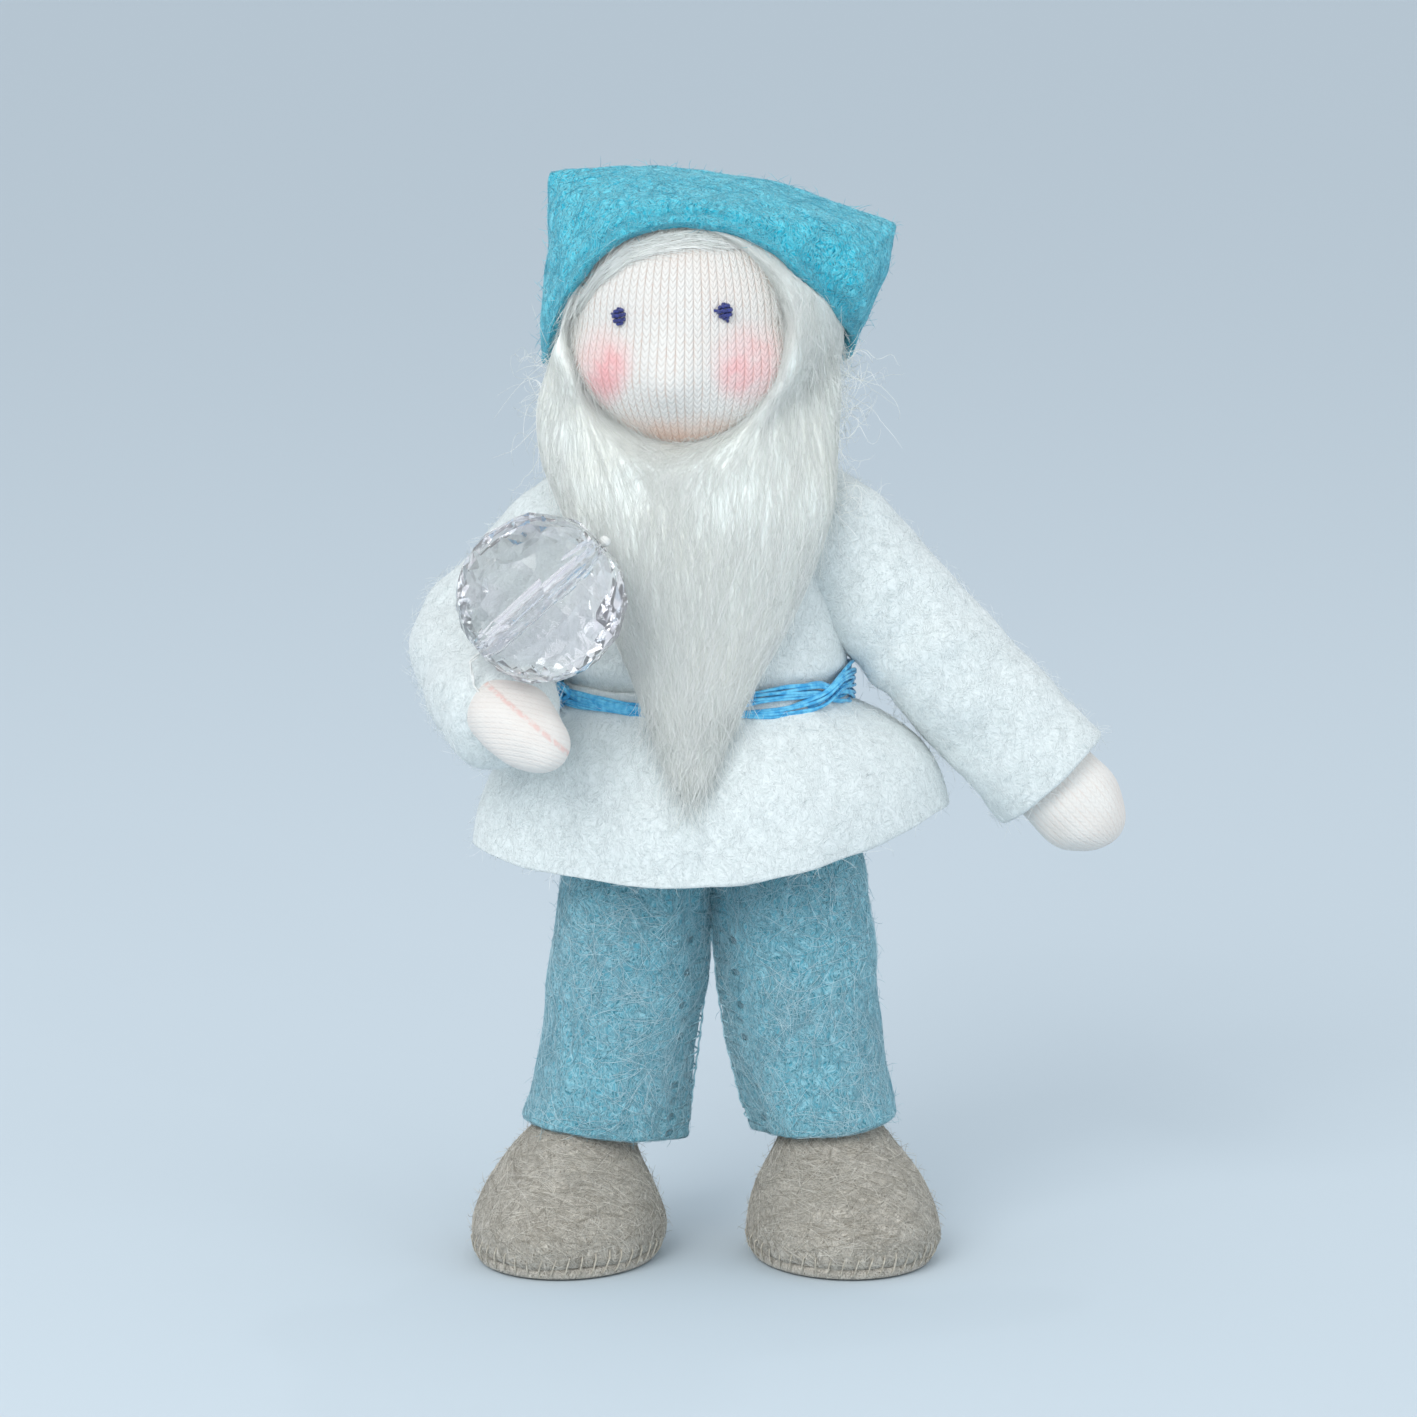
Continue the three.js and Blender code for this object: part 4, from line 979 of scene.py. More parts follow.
fleeceLook = {
    "ball": (14.1, 13.9, 13.2),
    "parting": 1.2,
    "underHat": 12.3,
    "beard": [
        (-1, 13.2, 3, 0, -3.6),
        (-6, 13.7, 4.2, 0, -4.8),
        (-12, 13.4, 4.9, 0, -6),
        (-17, 12.2, 5.3, 0.8, -7.3),
        (-24, 9.8, 5, 0.8, -8.2),
        (-30, 6.7, 3.8, 0.8, -9.5),
        (-36, 3.8, 2.4, 0.2, -11.2),
        (-40.5, 2, 1.3, 0.2, -12.6),
        (-42.4, 0.6, 0.5, 0.4, -13.1),
    ],
    "face": (-1, -1.25, 9.6, 9.55),  # the middle aside and up, and half sizes, of the face that shows
    "faceHole": [(24, 9.6, 9.55), (9, 9.6, 9.55), (2, 9.3, 9.2), (-1, 8.6, 8.5)],
    "strandDepth": 0.055,
}


def fleeceMaterial():
    # combed wool: streaks that follow the strands, and slow patches that drift between a cooler and a
    # creamier white
    material, tree, shader = newMaterial(
        "combedFleece", Roughness=0.85, Sheen_Weight=0.35, Sheen_Roughness=0.45, Specular_IOR_Level=0.2
    )
    place = objectPlace(tree)
    bend = put(tree, "ShaderNodeTexNoise", Vector=place, Scale=0.25 / mm, Detail=1.0).outputs["Color"]
    bend = put(tree, "ShaderNodeVectorMath", {"operation": "SCALE"}, _0=bend, Scale=1.6 * mm).outputs[0]
    bent = moved(tree, "ADD", place, bend)
    combed = put(tree, "ShaderNodeMapping", Vector=bent, Scale=(1.0, 1.0, 0.07)).outputs[0]
    coarse = cloudy(tree, combed, 1.4 / mm, 3.0)
    fine = cloudy(tree, combed, 7 / mm, 2.0)
    drift = cloudy(tree, place, 0.12 / mm, 2.0)
    tone = mixed(tree, ranged(tree, drift, 0.35, 0.65), colour(243, 249, 246), colour(246, 247, 239))
    # painted shade: darker and warmer in the hollows between the coarse combed locks
    tone = mixed(tree, ranged(tree, coarse, 0.46, 0.2, 0.0, 0.2), tone, colour(230, 219, 206))
    # painted highlights: lighter on the fine ridges
    tone = mixed(tree, ranged(tree, fine, 0.45, 0.75, 0.0, 0.6), tone, colour(250, 253, 251))
    tree.links.new(tone, shader.inputs["Base Color"])
    height = plus(tree, times(tree, coarse, 1.2), fine)
    bump = put(tree, "ShaderNodeBump", Strength=0.5, Distance=0.14 * mm, Height=height)
    tree.links.new(bump.outputs[0], shader.inputs["Normal"])
    return material


combedFleece = fleeceMaterial()
fleeceHair = hairMaterial("fleeceStrands", colour(236, 240, 234), colour(254, 255, 253), 0.6)


def fromFace(points):
    # 1 on the outline of the face that shows, seen from the front, and more outside it
    x, z, halfWidth, halfHeight = fleeceLook["face"]
    return np.hypot((points[:, 0] - headX - x) / halfWidth, (points[:, 2] - headZ - z) / halfHeight)


def thinAtFace(points):
    # the fleece thins out where it meets the face, and dives under the skin inside that outline
    x, z = fleeceLook["face"][:2]
    head = np.array([headX, headY, headZ])
    middle = np.array([headX + x, headZ + z])
    beyond = fromFace(points)
    flat = points[:, [0, 2]]
    edge = middle + (flat - middle) / np.maximum(beyond, 1)[:, None] - head[[0, 2]]
    depth = skinDepth(edge)
    out = np.clip(beyond - 1, 0, 9)
    limit = depth + 0.1 + eased(out / 0.1) * 0.7 + 13 * out
    limit -= 0.9 * np.clip((1 - beyond) / 0.06, 0, 1)
    clamped = points.copy()
    clamped[:, 1] = np.where(points[:, 1] < 0, np.maximum(points[:, 1], headY - limit), points[:, 1])
    return clamped


def makeFleece():
    look = fleeceLook
    deselectAll()
    bpy.ops.mesh.primitive_uv_sphere_add(segments=64, ring_count=40, radius=mm)
    ball = bpy.context.object
    bpy.ops.transform.resize(value=look["ball"])
    settle(ball, Matrix.Translation(at(headX, 0, headZ - 1)))
    rings = [(headZ + z, w, d, headX + x, y) for z, w, d, x, y in look["beard"]]
    beard = loft("beard", rings, sides=36, steps=3)
    settle(beard, Matrix.Translation(spine))
    fleece = joined("fleece", beard, ball)
    useModifier(fleece, "REMESH", mode="VOXEL", voxel_size=0.5 * mm)
    cutter = loft("faceHole", look["faceHole"], sides=48, steps=3)
    lying = Matrix.Rotation(math.radians(90), 4, "X")
    faceX, faceZ = look["face"][:2]
    settle(cutter, Matrix.Translation(at(headX + faceX, 0, headZ + faceZ)) @ lying)
    useModifier(fleece, "BOOLEAN", operation="DIFFERENCE", object=cutter, solver="EXACT")
    bpy.data.objects.remove(cutter)
    useModifier(fleece, "REMESH", mode="VOXEL", voxel_size=0.42 * mm)
    points = thinAtFace(localPoints(fleece))
    setLocal(fleece, points)
    useModifier(fleece, "REMESH", mode="VOXEL", voxel_size=0.42 * mm)
    useModifier(fleece, "SMOOTH", factor=0.5, iterations=8)
    points = localPoints(fleece)
    head = np.array([headX, headY, headZ])
    # drawn in where the hat lies over it
    over = overHatEdge(points)
    reach = np.linalg.norm(points - head, axis=1)
    share = np.clip(1.1 + over / 3.5, 0, 1)
    wanted = np.minimum(reach, look["underHat"] - 0.4 * np.clip(points[:, 1] / 4, 0, 1))
    points = head + (points - head) * ((reach + (wanted - reach) * share) / reach)[:, None]
    points = thinAtFace(points)
    setLocal(fleece, points)
    normals = meshNormals(fleece)
    combed = points * np.array([0.75, 0.75, 0.09])
    locks = points * np.array([0.3, 0.3, 0.035])
    depth = [noise.noise(Vector(c)) + 1.6 * noise.noise(Vector(l)) for c, l in zip(combed, locks)]
    depth = np.array(depth) * look["strandDepth"] * np.clip((headZ - 3 - points[:, 2]) / 12, 0.3, 1)
    setLocal(fleece, points + normals * depth[:, None])
    return fleece


fleece = makeFleece()


def beardFlow(p):
    # combed down, and together towards the tip
    way = np.zeros_like(p)
    way[:, 2] = -1
    gather = np.clip((headZ - 8 - p[:, 2]) / 20, 0, 1)
    way[:, 0] = -(p[:, 0] + 0.8) * 0.055 * gather
    spread = np.clip((p[:, 2] - headZ + 10) / 8, 0, 1)
    way[:, 0] += (p[:, 0] - headX) * 0.03 * spread
    return way


def frontOfHair(p, n):
    return (p[:, 1] < fleeceLook["parting"]) & (overHatEdge(p) < 0.5) & (fromFace(p) > 0.99)


def backOfHair(p, n):
    return (p[:, 1] >= fleeceLook["parting"]) & (overHatEdge(p) < 1) & (n[:, 2] > -0.9)


combedLook = {
    "count": 6100, "shortest": 5, "longest": 14, "thickness": 0.034, "rise": (0, 2), "curl": 0.035,
    "float": 0.06, "steps": 6, "stray": 0.08,
}
overLook = {**combedLook, "curl": 0.07, "float": 0.11, "stray": 0.14}
beardStrands = fibres("beard_strands", fleece, combedLook, 21, beardFlow, frontOfHair)
beardOver = fibres("beard_top_strands", fleece, overLook, 28, beardFlow, frontOfHair)
beardWisps = fibres(
    "beard_wisps", fleece,
    {"count": 2000, "shortest": 1.6, "longest": 4.5, "thickness": 0.032, "rise": (2, 24), "curl": 0.2,
     "steps": 6, "stray": 0.3},
    22, beardFlow, frontOfHair,
)


def nearFace(p, n):
    beyond = fromFace(p)
    return (p[:, 1] < -2) & (overHatEdge(p) < 0.3) & (beyond > 0.98) & (beyond < 1.3)


def overFaceEdge(p):
    # down along the face's outline, and a little in over the cheeks
    x, z = fleeceLook["face"][:2]
    inward = np.stack([headX + x - p[:, 0], np.zeros(len(p)), np.zeros(len(p))], axis=1) / 10
    return inward * 0.5 + np.array([0, 0, -1])


def awayFromFace(p):
    # out over the fleece and down
    x, z = fleeceLook["face"][:2]
    outward = np.stack([p[:, 0] - headX - x, np.zeros(len(p)), p[:, 2] - headZ - z], axis=1) / 10
    return outward * 0.7 + np.array([0, -0.3, -0.8])


def onFaceEdge(p, n):
    return (p[:, 1] < 0) & (p[:, 2] < headZ + 4) & (fromFace(p) > 0.94) & (fromFace(p) < 1.03)


faceWisps = fibres(
    "face_wisps", fleece,
    {"count": 3600, "shortest": 1.2, "longest": 5, "thickness": 0.03, "rise": (0, 9), "curl": 0.12,
     "float": 0.16, "steps": 6, "stray": 0.28},
    26, overFaceEdge, nearFace,
)
edgeWisps = fibres(
    "face_edge_wisps", face,
    {"count": 2000, "shortest": 1.5, "longest": 5, "thickness": 0.026, "rise": (12, 40), "curl": 0.16,
     "steps": 6, "stray": 0.35},
    29, awayFromFace, onFaceEdge,
)
tipStrands = fibres(
    "beard_tip_strands", fleece,
    {"count": 1100, "shortest": 3, "longest": 7, "thickness": 0.034, "rise": (0, 7), "curl": 0.08,
     "steps": 6, "stray": 0.22},
    27, beardFlow, lambda p, n: (p[:, 2] < headZ - 31) & (n[:, 1] < 0.3),
)
hairStrands = fibres(
    "hair_strands", fleece,
    {"count": 2500, "shortest": 4, "longest": 11, "thickness": 0.04, "rise": (0, 8), "curl": 0.06,
     "float": 0.12, "steps": 6, "stray": 0.18},
    23, beardFlow, backOfHair,
)


def besideFace(p, n):
    level = (p[:, 2] > headZ - 17) & (p[:, 2] < headZ - 3)
    return level & (np.abs(n[:, 0]) > 0.6) & (np.abs(p[:, 1]) < 7)


looseCurls = fibres(
    "hair_curls", fleece,
    {"count": 420, "shortest": 3, "longest": 11, "thickness": 0.05, "rise": (8, 62), "curl": 0.5,
     "steps": 15, "stray": 1.1},
    24, beardFlow, lambda p, n: besideFace(p, n) * np.where(p[:, 0] > 0, 1, 0.3),
)


def makeBrowWisps():
    # the few hairs that show between the hat's edge and the forehead
    rng = np.random.default_rng(25)
    paths = []
    for i in range(900):
        start, span = rng.uniform(-13.5, 11.5), rng.uniform(2.5, 6)
        depth = rng.uniform(-0.4, 1.1)
        wander = rng.normal(0, 0.3)
        floats = 0.1 + 0.2 * rng.random()
        path = []
        for t in np.linspace(0, 1, 9):
            along = start + span * t
            # the part of the hat's edge that shows lies nearer to the head than the arch does
            x = 0.87 * along
            z = 0.89 * (float(hatEdge(along, -9.0)) - headZ) - 0.5 - depth - wander * t * t * 2
            flat = math.hypot(x - headX, z)
            lift = headRadius + floats
            y = -math.sqrt(max(lift**2 - flat**2, 0.5))
            path.append(np.array(at(x, headY + y, headZ + z)))
        paths.append(path)
    return hairMesh("brow_wisps", np.array(paths), np.full(len(paths), 0.024 * mm))


browWisps = makeBrowWisps()
hair = fleece.copy()
hair.data = fleece.data.copy()
bpy.context.collection.objects.link(hair)
fleece.name, hair.name = "beard_fleece", "hair_fleece"
beard = fleece
cutOff(beard, at(0, fleeceLook["parting"], 0), (0, 1, 0), fill=True)
cutOff(hair, at(0, fleeceLook["parting"], 0), (0, -1, 0), fill=True)
for piece in (beard, hair):
    wear(piece, combedFleece)
smoothShade(beard, hair)
beardHairs = [beardStrands, beardOver, beardWisps, tipStrands]
headHairs = [hairStrands, looseCurls, browWisps, faceWisps, edgeWisps]
for piece in beardHairs + headHairs:
    wear(piece, fleeceHair)
for piece in [beard] + beardHairs:
    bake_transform(piece)
for piece in [hair] + headHairs:
    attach(piece, "head")
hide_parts("beard")
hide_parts("hair")
print("fleece ready")

# Tunic: a body and a flared skirt of white felt, drawn in by the belt

tunicLook = {
    "body": [
        (74.4, 5, 4.6), (73, 8.4, 5.9), (70.8, 10.6, 6.6), (66.9, 12.2, 7), (60.3, 12.9, 7.7),
        (56.3, 13.2, 8.6, 0.1), (54.2, 13.1, 9, 0.3), (52.6, 12.1, 8.6, 0.4), (50.5, 11.4, 7.9, 0.4),
    ],
    "skirt": [
        (53.2, 12.7, 8.8, 0.3), (52, 12.9, 9.1, 0.35), (50.9, 13.6, 9.5, 0.45), (49.6, 15.6, 10.3, 0.7),
        (47.6, 17.7, 11.4, 1), (45.2, 19.3, 12.4, 1), (42.2, 20.5, 13.3, 0.9), (38.5, 21.2, 13.8, 0.7),
        (35.2, 21.4, 14, 0.6), (33, 21.5, 14, 0.6),
    ],
    "hem": 36.1,
    "wall": 1.15,
    "sideRise": 3.6,
    "leftRise": 1.3,
    "fold": 0.5,
}


def makeTunic():
    look = tunicLook
    body = loft("tunic_body_felt", look["body"], sides=44, steps=3)
    settle(body, Matrix.Translation(spine))
    smoothSurface(body, 1)
    waves(body, 7, 0.5, 3)
    waves(body, 2.4, 0.07, 4)

    skirt = loft("tunic_skirt_felt", look["skirt"], sides=72, steps=3)
    settle(skirt, Matrix.Translation(spine))
    cutOff(skirt, at(0, 0, look["skirt"][0][0] - 0.4), (0, 0, 1))
    cutOff(skirt, at(0, 0, look["hem"]), (0, 0, -1))
    points = localPoints(skirt)
    top = look["skirt"][0][0]
    share = np.clip((top - 1.5 - points[:, 2]) / (top - 1.5 - look["hem"]), 0, 1)
    angle = np.arctan2(points[:, 1], points[:, 0])
    # gathers under the belt that widen into a few loose folds
    loose = share**1.5 * (np.cos(angle * 7 + 0.6) + 0.7 * np.cos(angle * 4 - 1.1)) * look["fold"]
    tight = np.sin(np.clip(share * 3.2, 0, 1) * math.pi) * 0.22
    tight *= np.cos(angle * 23 + 3 * np.cos(angle * 2))
    out = 1 + (loose + tight) / np.hypot(points[:, 0], points[:, 1])
    points[:, 0] *= out
    points[:, 1] *= out
    across = points[:, 0] / 21.3
    points[:, 2] += share**1.2 * (look["sideRise"] * across**2 + look["leftRise"] * across)
    setLocal(skirt, points)
    useModifier(skirt, "SOLIDIFY", thickness=look["wall"] * mm, offset=-1, use_even_offset=True)
    smoothSurface(skirt, 1)
    waves(skirt, 5, 0.35, 5)
    waves(skirt, 1.6, 0.04, 6)
    for piece in (body, skirt):
        wear(piece, whiteFelt)
    smoothShade(body, skirt)
    return body, skirt


tunicBody, tunicSkirt = makeTunic()
whiteFuzz = {"shortest": 0.8, "thickness": 0.034}
bodyFuzz = fibres(
    "tunic_body_fuzz", tunicBody,
    {**whiteFuzz, "count": 1700, "longest": 2.4, "rise": (0, 30), "curl": 0.3},
    31, allowed=lambda p, n: (p[:, 2] > 52.5) & (p[:, 2] < 72),
)
skirtFuzz = fibres(
    "tunic_skirt_fuzz", tunicSkirt,
    {**whiteFuzz, "count": 3000, "longest": 2.6, "rise": (0, 36), "curl": 0.32},
    32,
)
for piece in (bodyFuzz, skirtFuzz):
    wear(piece, whiteHair)
for piece in (tunicBody, tunicSkirt, bodyFuzz, skirtFuzz):
    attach(piece, "torso")
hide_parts("tunic_front", "tunic_back", "torso_wool_core")
print("tunic ready")

# Sleeves: each one a stuffed tube of white felt round a knitted hand; only the left one is cut open at
# the cuff


def lying(place, way, back=Vector((0, 1, 0))):
    # a frame at a place, with its Z along the way and its Y as near as can be to the back
    z = way.normalized()
    x = back.cross(z).normalized()
    return Matrix.Translation(place) @ Matrix((x, z.cross(x), z)).transposed().to_4x4()


armLook = {
    "upper": [
        (-5, 2.4, 2), (-4.2, 3.7, 3), (-2, 4.8, 4), (0, 5.4, 4.5), (2.5, 6, 4.8), (6, 6.2, 4.9),
        (11, 6.1, 5), (16.5, 6.2, 5.1),
    ],
    "lower": {
        "left": [(5, 6.1, 5.1), (11, 5.95, 5.1), (16.4, 6.15, 5.3), (18.4, 6.2, 5.35)],
        "right": [(5, 5.9, 5.3, 0, -0.2), (11, 5.7, 5.5, -0.2, -0.6), (14.8, 5.5, 5.4, -0.4, -0.8),
                  (16.4, 5.1, 4.9, -0.4, -1), (17.3, 4.3, 4, -0.5, -1.2), (17.6, 3.2, 2.9, -0.5, -1.4)],
    },
    "rightBend": 83,
    # only the left sleeve has creases, by place past the elbow, depth and width, and an open cuff
    "leftCreases": [(-1.5, 0.3, 1.1), (2.2, 0.22, 0.9), (9, 0.16, 1.2)],
    "cuff": 16.4,
    "wall": 1.1,
    "hand": {
        "left": [
            (11.5, 2.6, 2.4), (13, 3.4, 3.1), (16.2, 4.1, 3.6), (19, 4.35, 3.85), (21.4, 4, 3.55),
            (23.2, 2.95, 2.7), (24.2, 1.7, 1.6), (24.6, 0.5, 0.5),
        ],
        # bent a little inwards, so its half sizes are followed by how far it strays from the arm's line
        "right": [
            (11.5, 2.6, 2.2, -0.2, -1.3), (13, 3.6, 2.9, -0.3, -1.6), (15.6, 4.2, 3.3, -0.5, -1.9),
            (17.6, 4.35, 3.25, -0.8, -2), (19.2, 4.25, 3.15, -1.2, -2), (20.8, 3.75, 2.8, -1.8, -2),
            (22, 2.85, 2.2, -2.4, -1.9), (22.8, 1.7, 1.35, -2.9, -1.8), (23.2, 0.5, 0.45, -3.2, -1.75),
        ],
    },
    "knitWales": 36,
    "levelWale": 0.46,
    "course": 0.62,
}
upperWay = {side: (jointPlace[side + "_elbow"] - jointPlace[side + "_shoulder"]).normalized()
            for side in ("right", "left")}
rightBend = Matrix.Rotation(math.radians(armLook["rightBend"]), 4, jointAxis["right_elbow"])
forearmWay = {"right": rightBend.to_3x3() @ upperWay["right"], "left": upperWay["left"]}


def forearmFrame(side):
    elbow = jointPlace[side + "_elbow"]
    straight = lying(elbow, upperWay[side])
    if side == "left":
        return straight
    return Matrix.Translation(elbow) @ rightBend @ Matrix.Translation(-elbow) @ straight


def makeSleeve(side):
    look = armLook
    shoulder, elbow = jointPlace[side + "_shoulder"], jointPlace[side + "_elbow"]
    name = side + "_sleeve_felt"
    upper = loft(name, look["upper"], sides=36, steps=3)
    settle(upper, lying(shoulder, upperWay[side]))
    lowerRings = [(-1.5, 4.6, 3.8), (0, 6, 5)] + look["lower"][side]
    lower = loft("lower", lowerRings, sides=36, steps=3)
    settle(lower, forearmFrame(side))
    deselectAll()
    bpy.ops.mesh.primitive_uv_sphere_add(segments=32, ring_count=20, radius=5.6 * mm, location=elbow)
    ball = bpy.context.object
    settle(ball)
    sleeve = joined(name, upper, lower, ball)
    useModifier(sleeve, "REMESH", mode="VOXEL", voxel_size=0.58 * mm)
    useModifier(sleeve, "SMOOTH", factor=0.5, iterations=14)
    if side == "left":
        # creases where the felt gives way: inside the elbow and under the arm
        points, normals = meshPoints(sleeve), meshNormals(sleeve)
        along = (points - np.array(elbow)) @ np.array(upperWay[side]) / mm
        under = np.clip(-(normals @ np.array([0.7, 0.2, 0.68])) + 0.5, 0, 1)
        dip = np.zeros(len(points))
        for place, depth, wide in look["leftCreases"]:
            dip += depth * under * np.exp(-(((along - place + under * 1.5) / wide) ** 2))
        setPoints(sleeve, points - normals * (dip * mm)[:, None])
        end = forearmFrame(side) @ Vector((0, 0, look["cuff"] * mm))
        cutOff(sleeve, end, forearmWay[side])
        feltEdge(sleeve, forearmWay[side], look["wall"], 5, (5.9, 5.5, 5.9))
    smoothSurface(sleeve, 1)
    waves(sleeve, 4.5, 0.4, seedOf(side, 7))
    waves(sleeve, 1.7, 0.04, 9)
    wear(sleeve, whiteFelt)
    smoothShade(sleeve)
    fuzz = fibres(
        side + "_sleeve_fuzz", sleeve,
        {**whiteFuzz, "count": 2400, "longest": 2.6, "rise": (0, 38), "curl": 0.3},
        seedOf(side, 41),
    )
    wear(fuzz, whiteHair)
    for piece in (sleeve, fuzz):
        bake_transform(piece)
    nodes = ["_upper_sleeve", "_lower_sleeve", "_upper_arm_wool", "_forearm_wool"]
    nodes += ["_elbow_crease"] if side == "left" else []
    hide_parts(*[side + node for node in nodes])


def flatStitchMap(obj, wale, course):
    # wales that lie level across the end of the hand, where the tube of knitting is sewn shut
    points = localPoints(obj)
    aside = points[:, 0] + 16
    up = points[:, 2] + 0.15 * points[:, 1] + 0.17 * aside + 0.03 * aside**2
    stitches = np.stack([up / wale, aside / course], axis=1)
    addMap(obj.data, "stitches", stitches[loopVertices(obj.data)])


handKnit = knitMaterial("handKnit", openness=0.5)
# tints the right hand towards a slightly greyer tone, most at its middle
handTint = [(at(-17, -16, 52), Vector((12, 12, 12)) * mm, 0, 0.6, colour(230, 222, 216))]
handSeam = (at(-15.1, -18, 52), Vector((0.644, 0.12, 0.756)))
seamedKnit = knitMaterial("seamedKnit", handTint, handSeam, openness=0.42)


def makeHand(side):
    look = armLook
    frameOfArm = forearmFrame(side)
    hand = loft(side + "_hand_knit", look["hand"][side], sides=40, steps=3)
    settle(hand, frameOfArm)
    smoothSurface(hand, 1)
    waves(hand, 3, 0.3, 10)
    if side == "left":
        turned = frameOfArm.to_3x3()
        along, front = turned @ Vector((0, 0, -1)), turned @ Vector((0, -1, 0))
        stitchMap(hand, frameOfArm.translation, along, front, look["knitWales"], look["course"], False)
    else:
        flatStitchMap(hand, look["levelWale"], look["course"])
    wear(hand, handKnit if side == "left" else seamedKnit)
    smoothShade(hand)
    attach(hand, side + "_forearm")
    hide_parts(side + "_hand_skin", side + "_hand_filling")


for side in ("right", "left"):
    makeSleeve(side)
    makeHand(side)
print("arms ready")

# Belt: floss wound twice round the waist, its strands lying loose beside each other

blueFloss = flecked("blueFloss", 1.6, 3.0, colour(30, 156, 214), colour(112, 206, 242),
                    Roughness=0.45, Sheen_Weight=0.3)
beltTree = blueFloss.node_tree
beltFine = cloudy(beltTree, objectPlace(beltTree), 9 / mm, 1.0)
beltBump = put(beltTree, "ShaderNodeBump", Strength=0.5, Distance=0.05 * mm, Height=beltFine)
beltTree.links.new(beltBump.outputs[0], beltTree.nodes["Principled BSDF"].inputs["Normal"])

beltLook = {
    "halfWidth": 13.5,
    "halfDepth": 9.5,
    "middleX": 0.35,
    "height": 51.3,
    "sideRise": 1.15,
    "knotAngle": -67,  # from straight ahead; less than 0 is the doll's right
    "crossing": 57,  # where the two laps cross
    "strands": 10,
    "strand": 0.15,
}


def hump(angle, middle, reach):
    return math.exp(-(((angle - middle) / reach) ** 2))


def beltStrand(k):
    # once round is one lap; the upper lap and the lower one cross, part and draw together
    look = beltLook
    start = math.radians(look["knotAngle"])
    phase = 2 * math.pi * k / look["strands"]
    shift = Vector((k * 5.3, k * 2.1, 0))
    line = []
    count = 420
    for i in range(count + 1):
        turned = start + 4 * math.pi * i / count
        angle = math.degrees(turned) % 360
        angle -= 360 if angle > 180 else 0
        lap = -1 if i < count / 2 else 1
        first = angle - look["crossing"] if angle > look["knotAngle"] else 360
        swap = math.tanh(first / 6)
        tight = hump(angle, -34, 30)
        apart = 0.5 + 0.45 * hump(angle, 28, 20) + 0.3 * hump(angle, 84, 16) - 0.4 * tight
        over = 0.28 * lap * hump(angle, look["crossing"], 9)
        fan = 1 + 0.9 * hump(angle, 88, 26) + 0.25 * hump(angle, -40, 18)
        near = min(i, count - i) / count * 30
        fan *= min(1, 0.3 + near)
        twist = phase + turned * 1.6 + 0.8 * noise.noise(shift + Vector((turned * 1.3, 0, 0)))
        up = (0.52 - 0.24 * tight) * fan * math.cos(twist)
        up += 0.18 * noise.noise(shift + Vector((turned * 3, 4, 0)))
        out = 0.24 * math.sin(twist) + over
        z = look["height"] + look["sideRise"] * math.sin(turned) ** 2 + 0.4 * math.sin(turned)
        z += swap * lap * apart + up
        line.append(at(
            look["middleX"] + (look["halfWidth"] + out) * math.sin(turned),
            -(look["halfDepth"] + out) * math.cos(turned), z,
        ))
    return line


belt = threads("belt_floss", [beltStrand(k) for k in range(beltLook["strands"])], beltLook["strand"])


def makeBeltKnot():
    look = beltLook
    angle = math.radians(look["knotAngle"])
    out = Vector((math.sin(angle), -math.cos(angle), 0))
    aside = Vector((0, 0, 1)).cross(out)
    middle = at(look["middleX"], 0, look["height"] + 0.75) + Vector(
        (look["halfWidth"] * out.x, look["halfDepth"] * out.y, 0)) * mm + out * 0.55 * mm
    lines = []
    for ply in range(3):
        line = []
        for i in range(64):
            t = i / 64 * 2 * math.pi
            x = math.sin(t) + 2 * math.sin(2 * t)
            z = math.cos(t) - 2 * math.cos(2 * t)
            y = -math.sin(3 * t)
            turn = ply * 2.1 + t * 2
            x, z = x * 0.36 + 0.12 * math.cos(turn), z * 0.36 + 0.12 * math.sin(turn)
            line.append(middle + (aside * x + Vector((0, 0, z)) + out * y * 0.42) * mm)
        lines.append(line + [line[0]])
    for tail, (dx, dz) in enumerate(((-2, 2.1), (-1.1, -2.9))):
        for ply in range(2):
            line = []
            for i in range(12):
                t = i / 11
                bend = math.sin(t * math.pi) * (0.7 - tail * 1.2)
                spot = aside * (dx * t + bend + ply * 0.16) + Vector((0, 0, dz * t + ply * 0.1))
                line.append(middle + (spot + out * (0.25 - 0.3 * t)) * mm)
            lines.append(line)
    return threads("belt_knot_floss", lines, look["strand"])


beltKnot = makeBeltKnot()
for piece in (belt, beltKnot):
    wear(piece, blueFloss)
    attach(piece, "torso")
smoothShade(belt, beltKnot)
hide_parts("belt")
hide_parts("belt_knot")
print("belt ready")

# Bead: faceted clear glass on a thread of two plies, tied off with a knot

beadLook = {
    "radius": 7.45, "sides": 22, "rows": 16, "uneven": 0.1, "bore": 0.8,
    "end": 7,  # from the middle to the flat at each end of the bore
    "window": 6.8,  # and to the two large facets, in front and behind
}
beadMiddle = jointPlace["bead_spin"]
boreWay = jointAxis["bead_spin"].normalized()
if boreWay.z < 0:
    boreWay = -boreWay


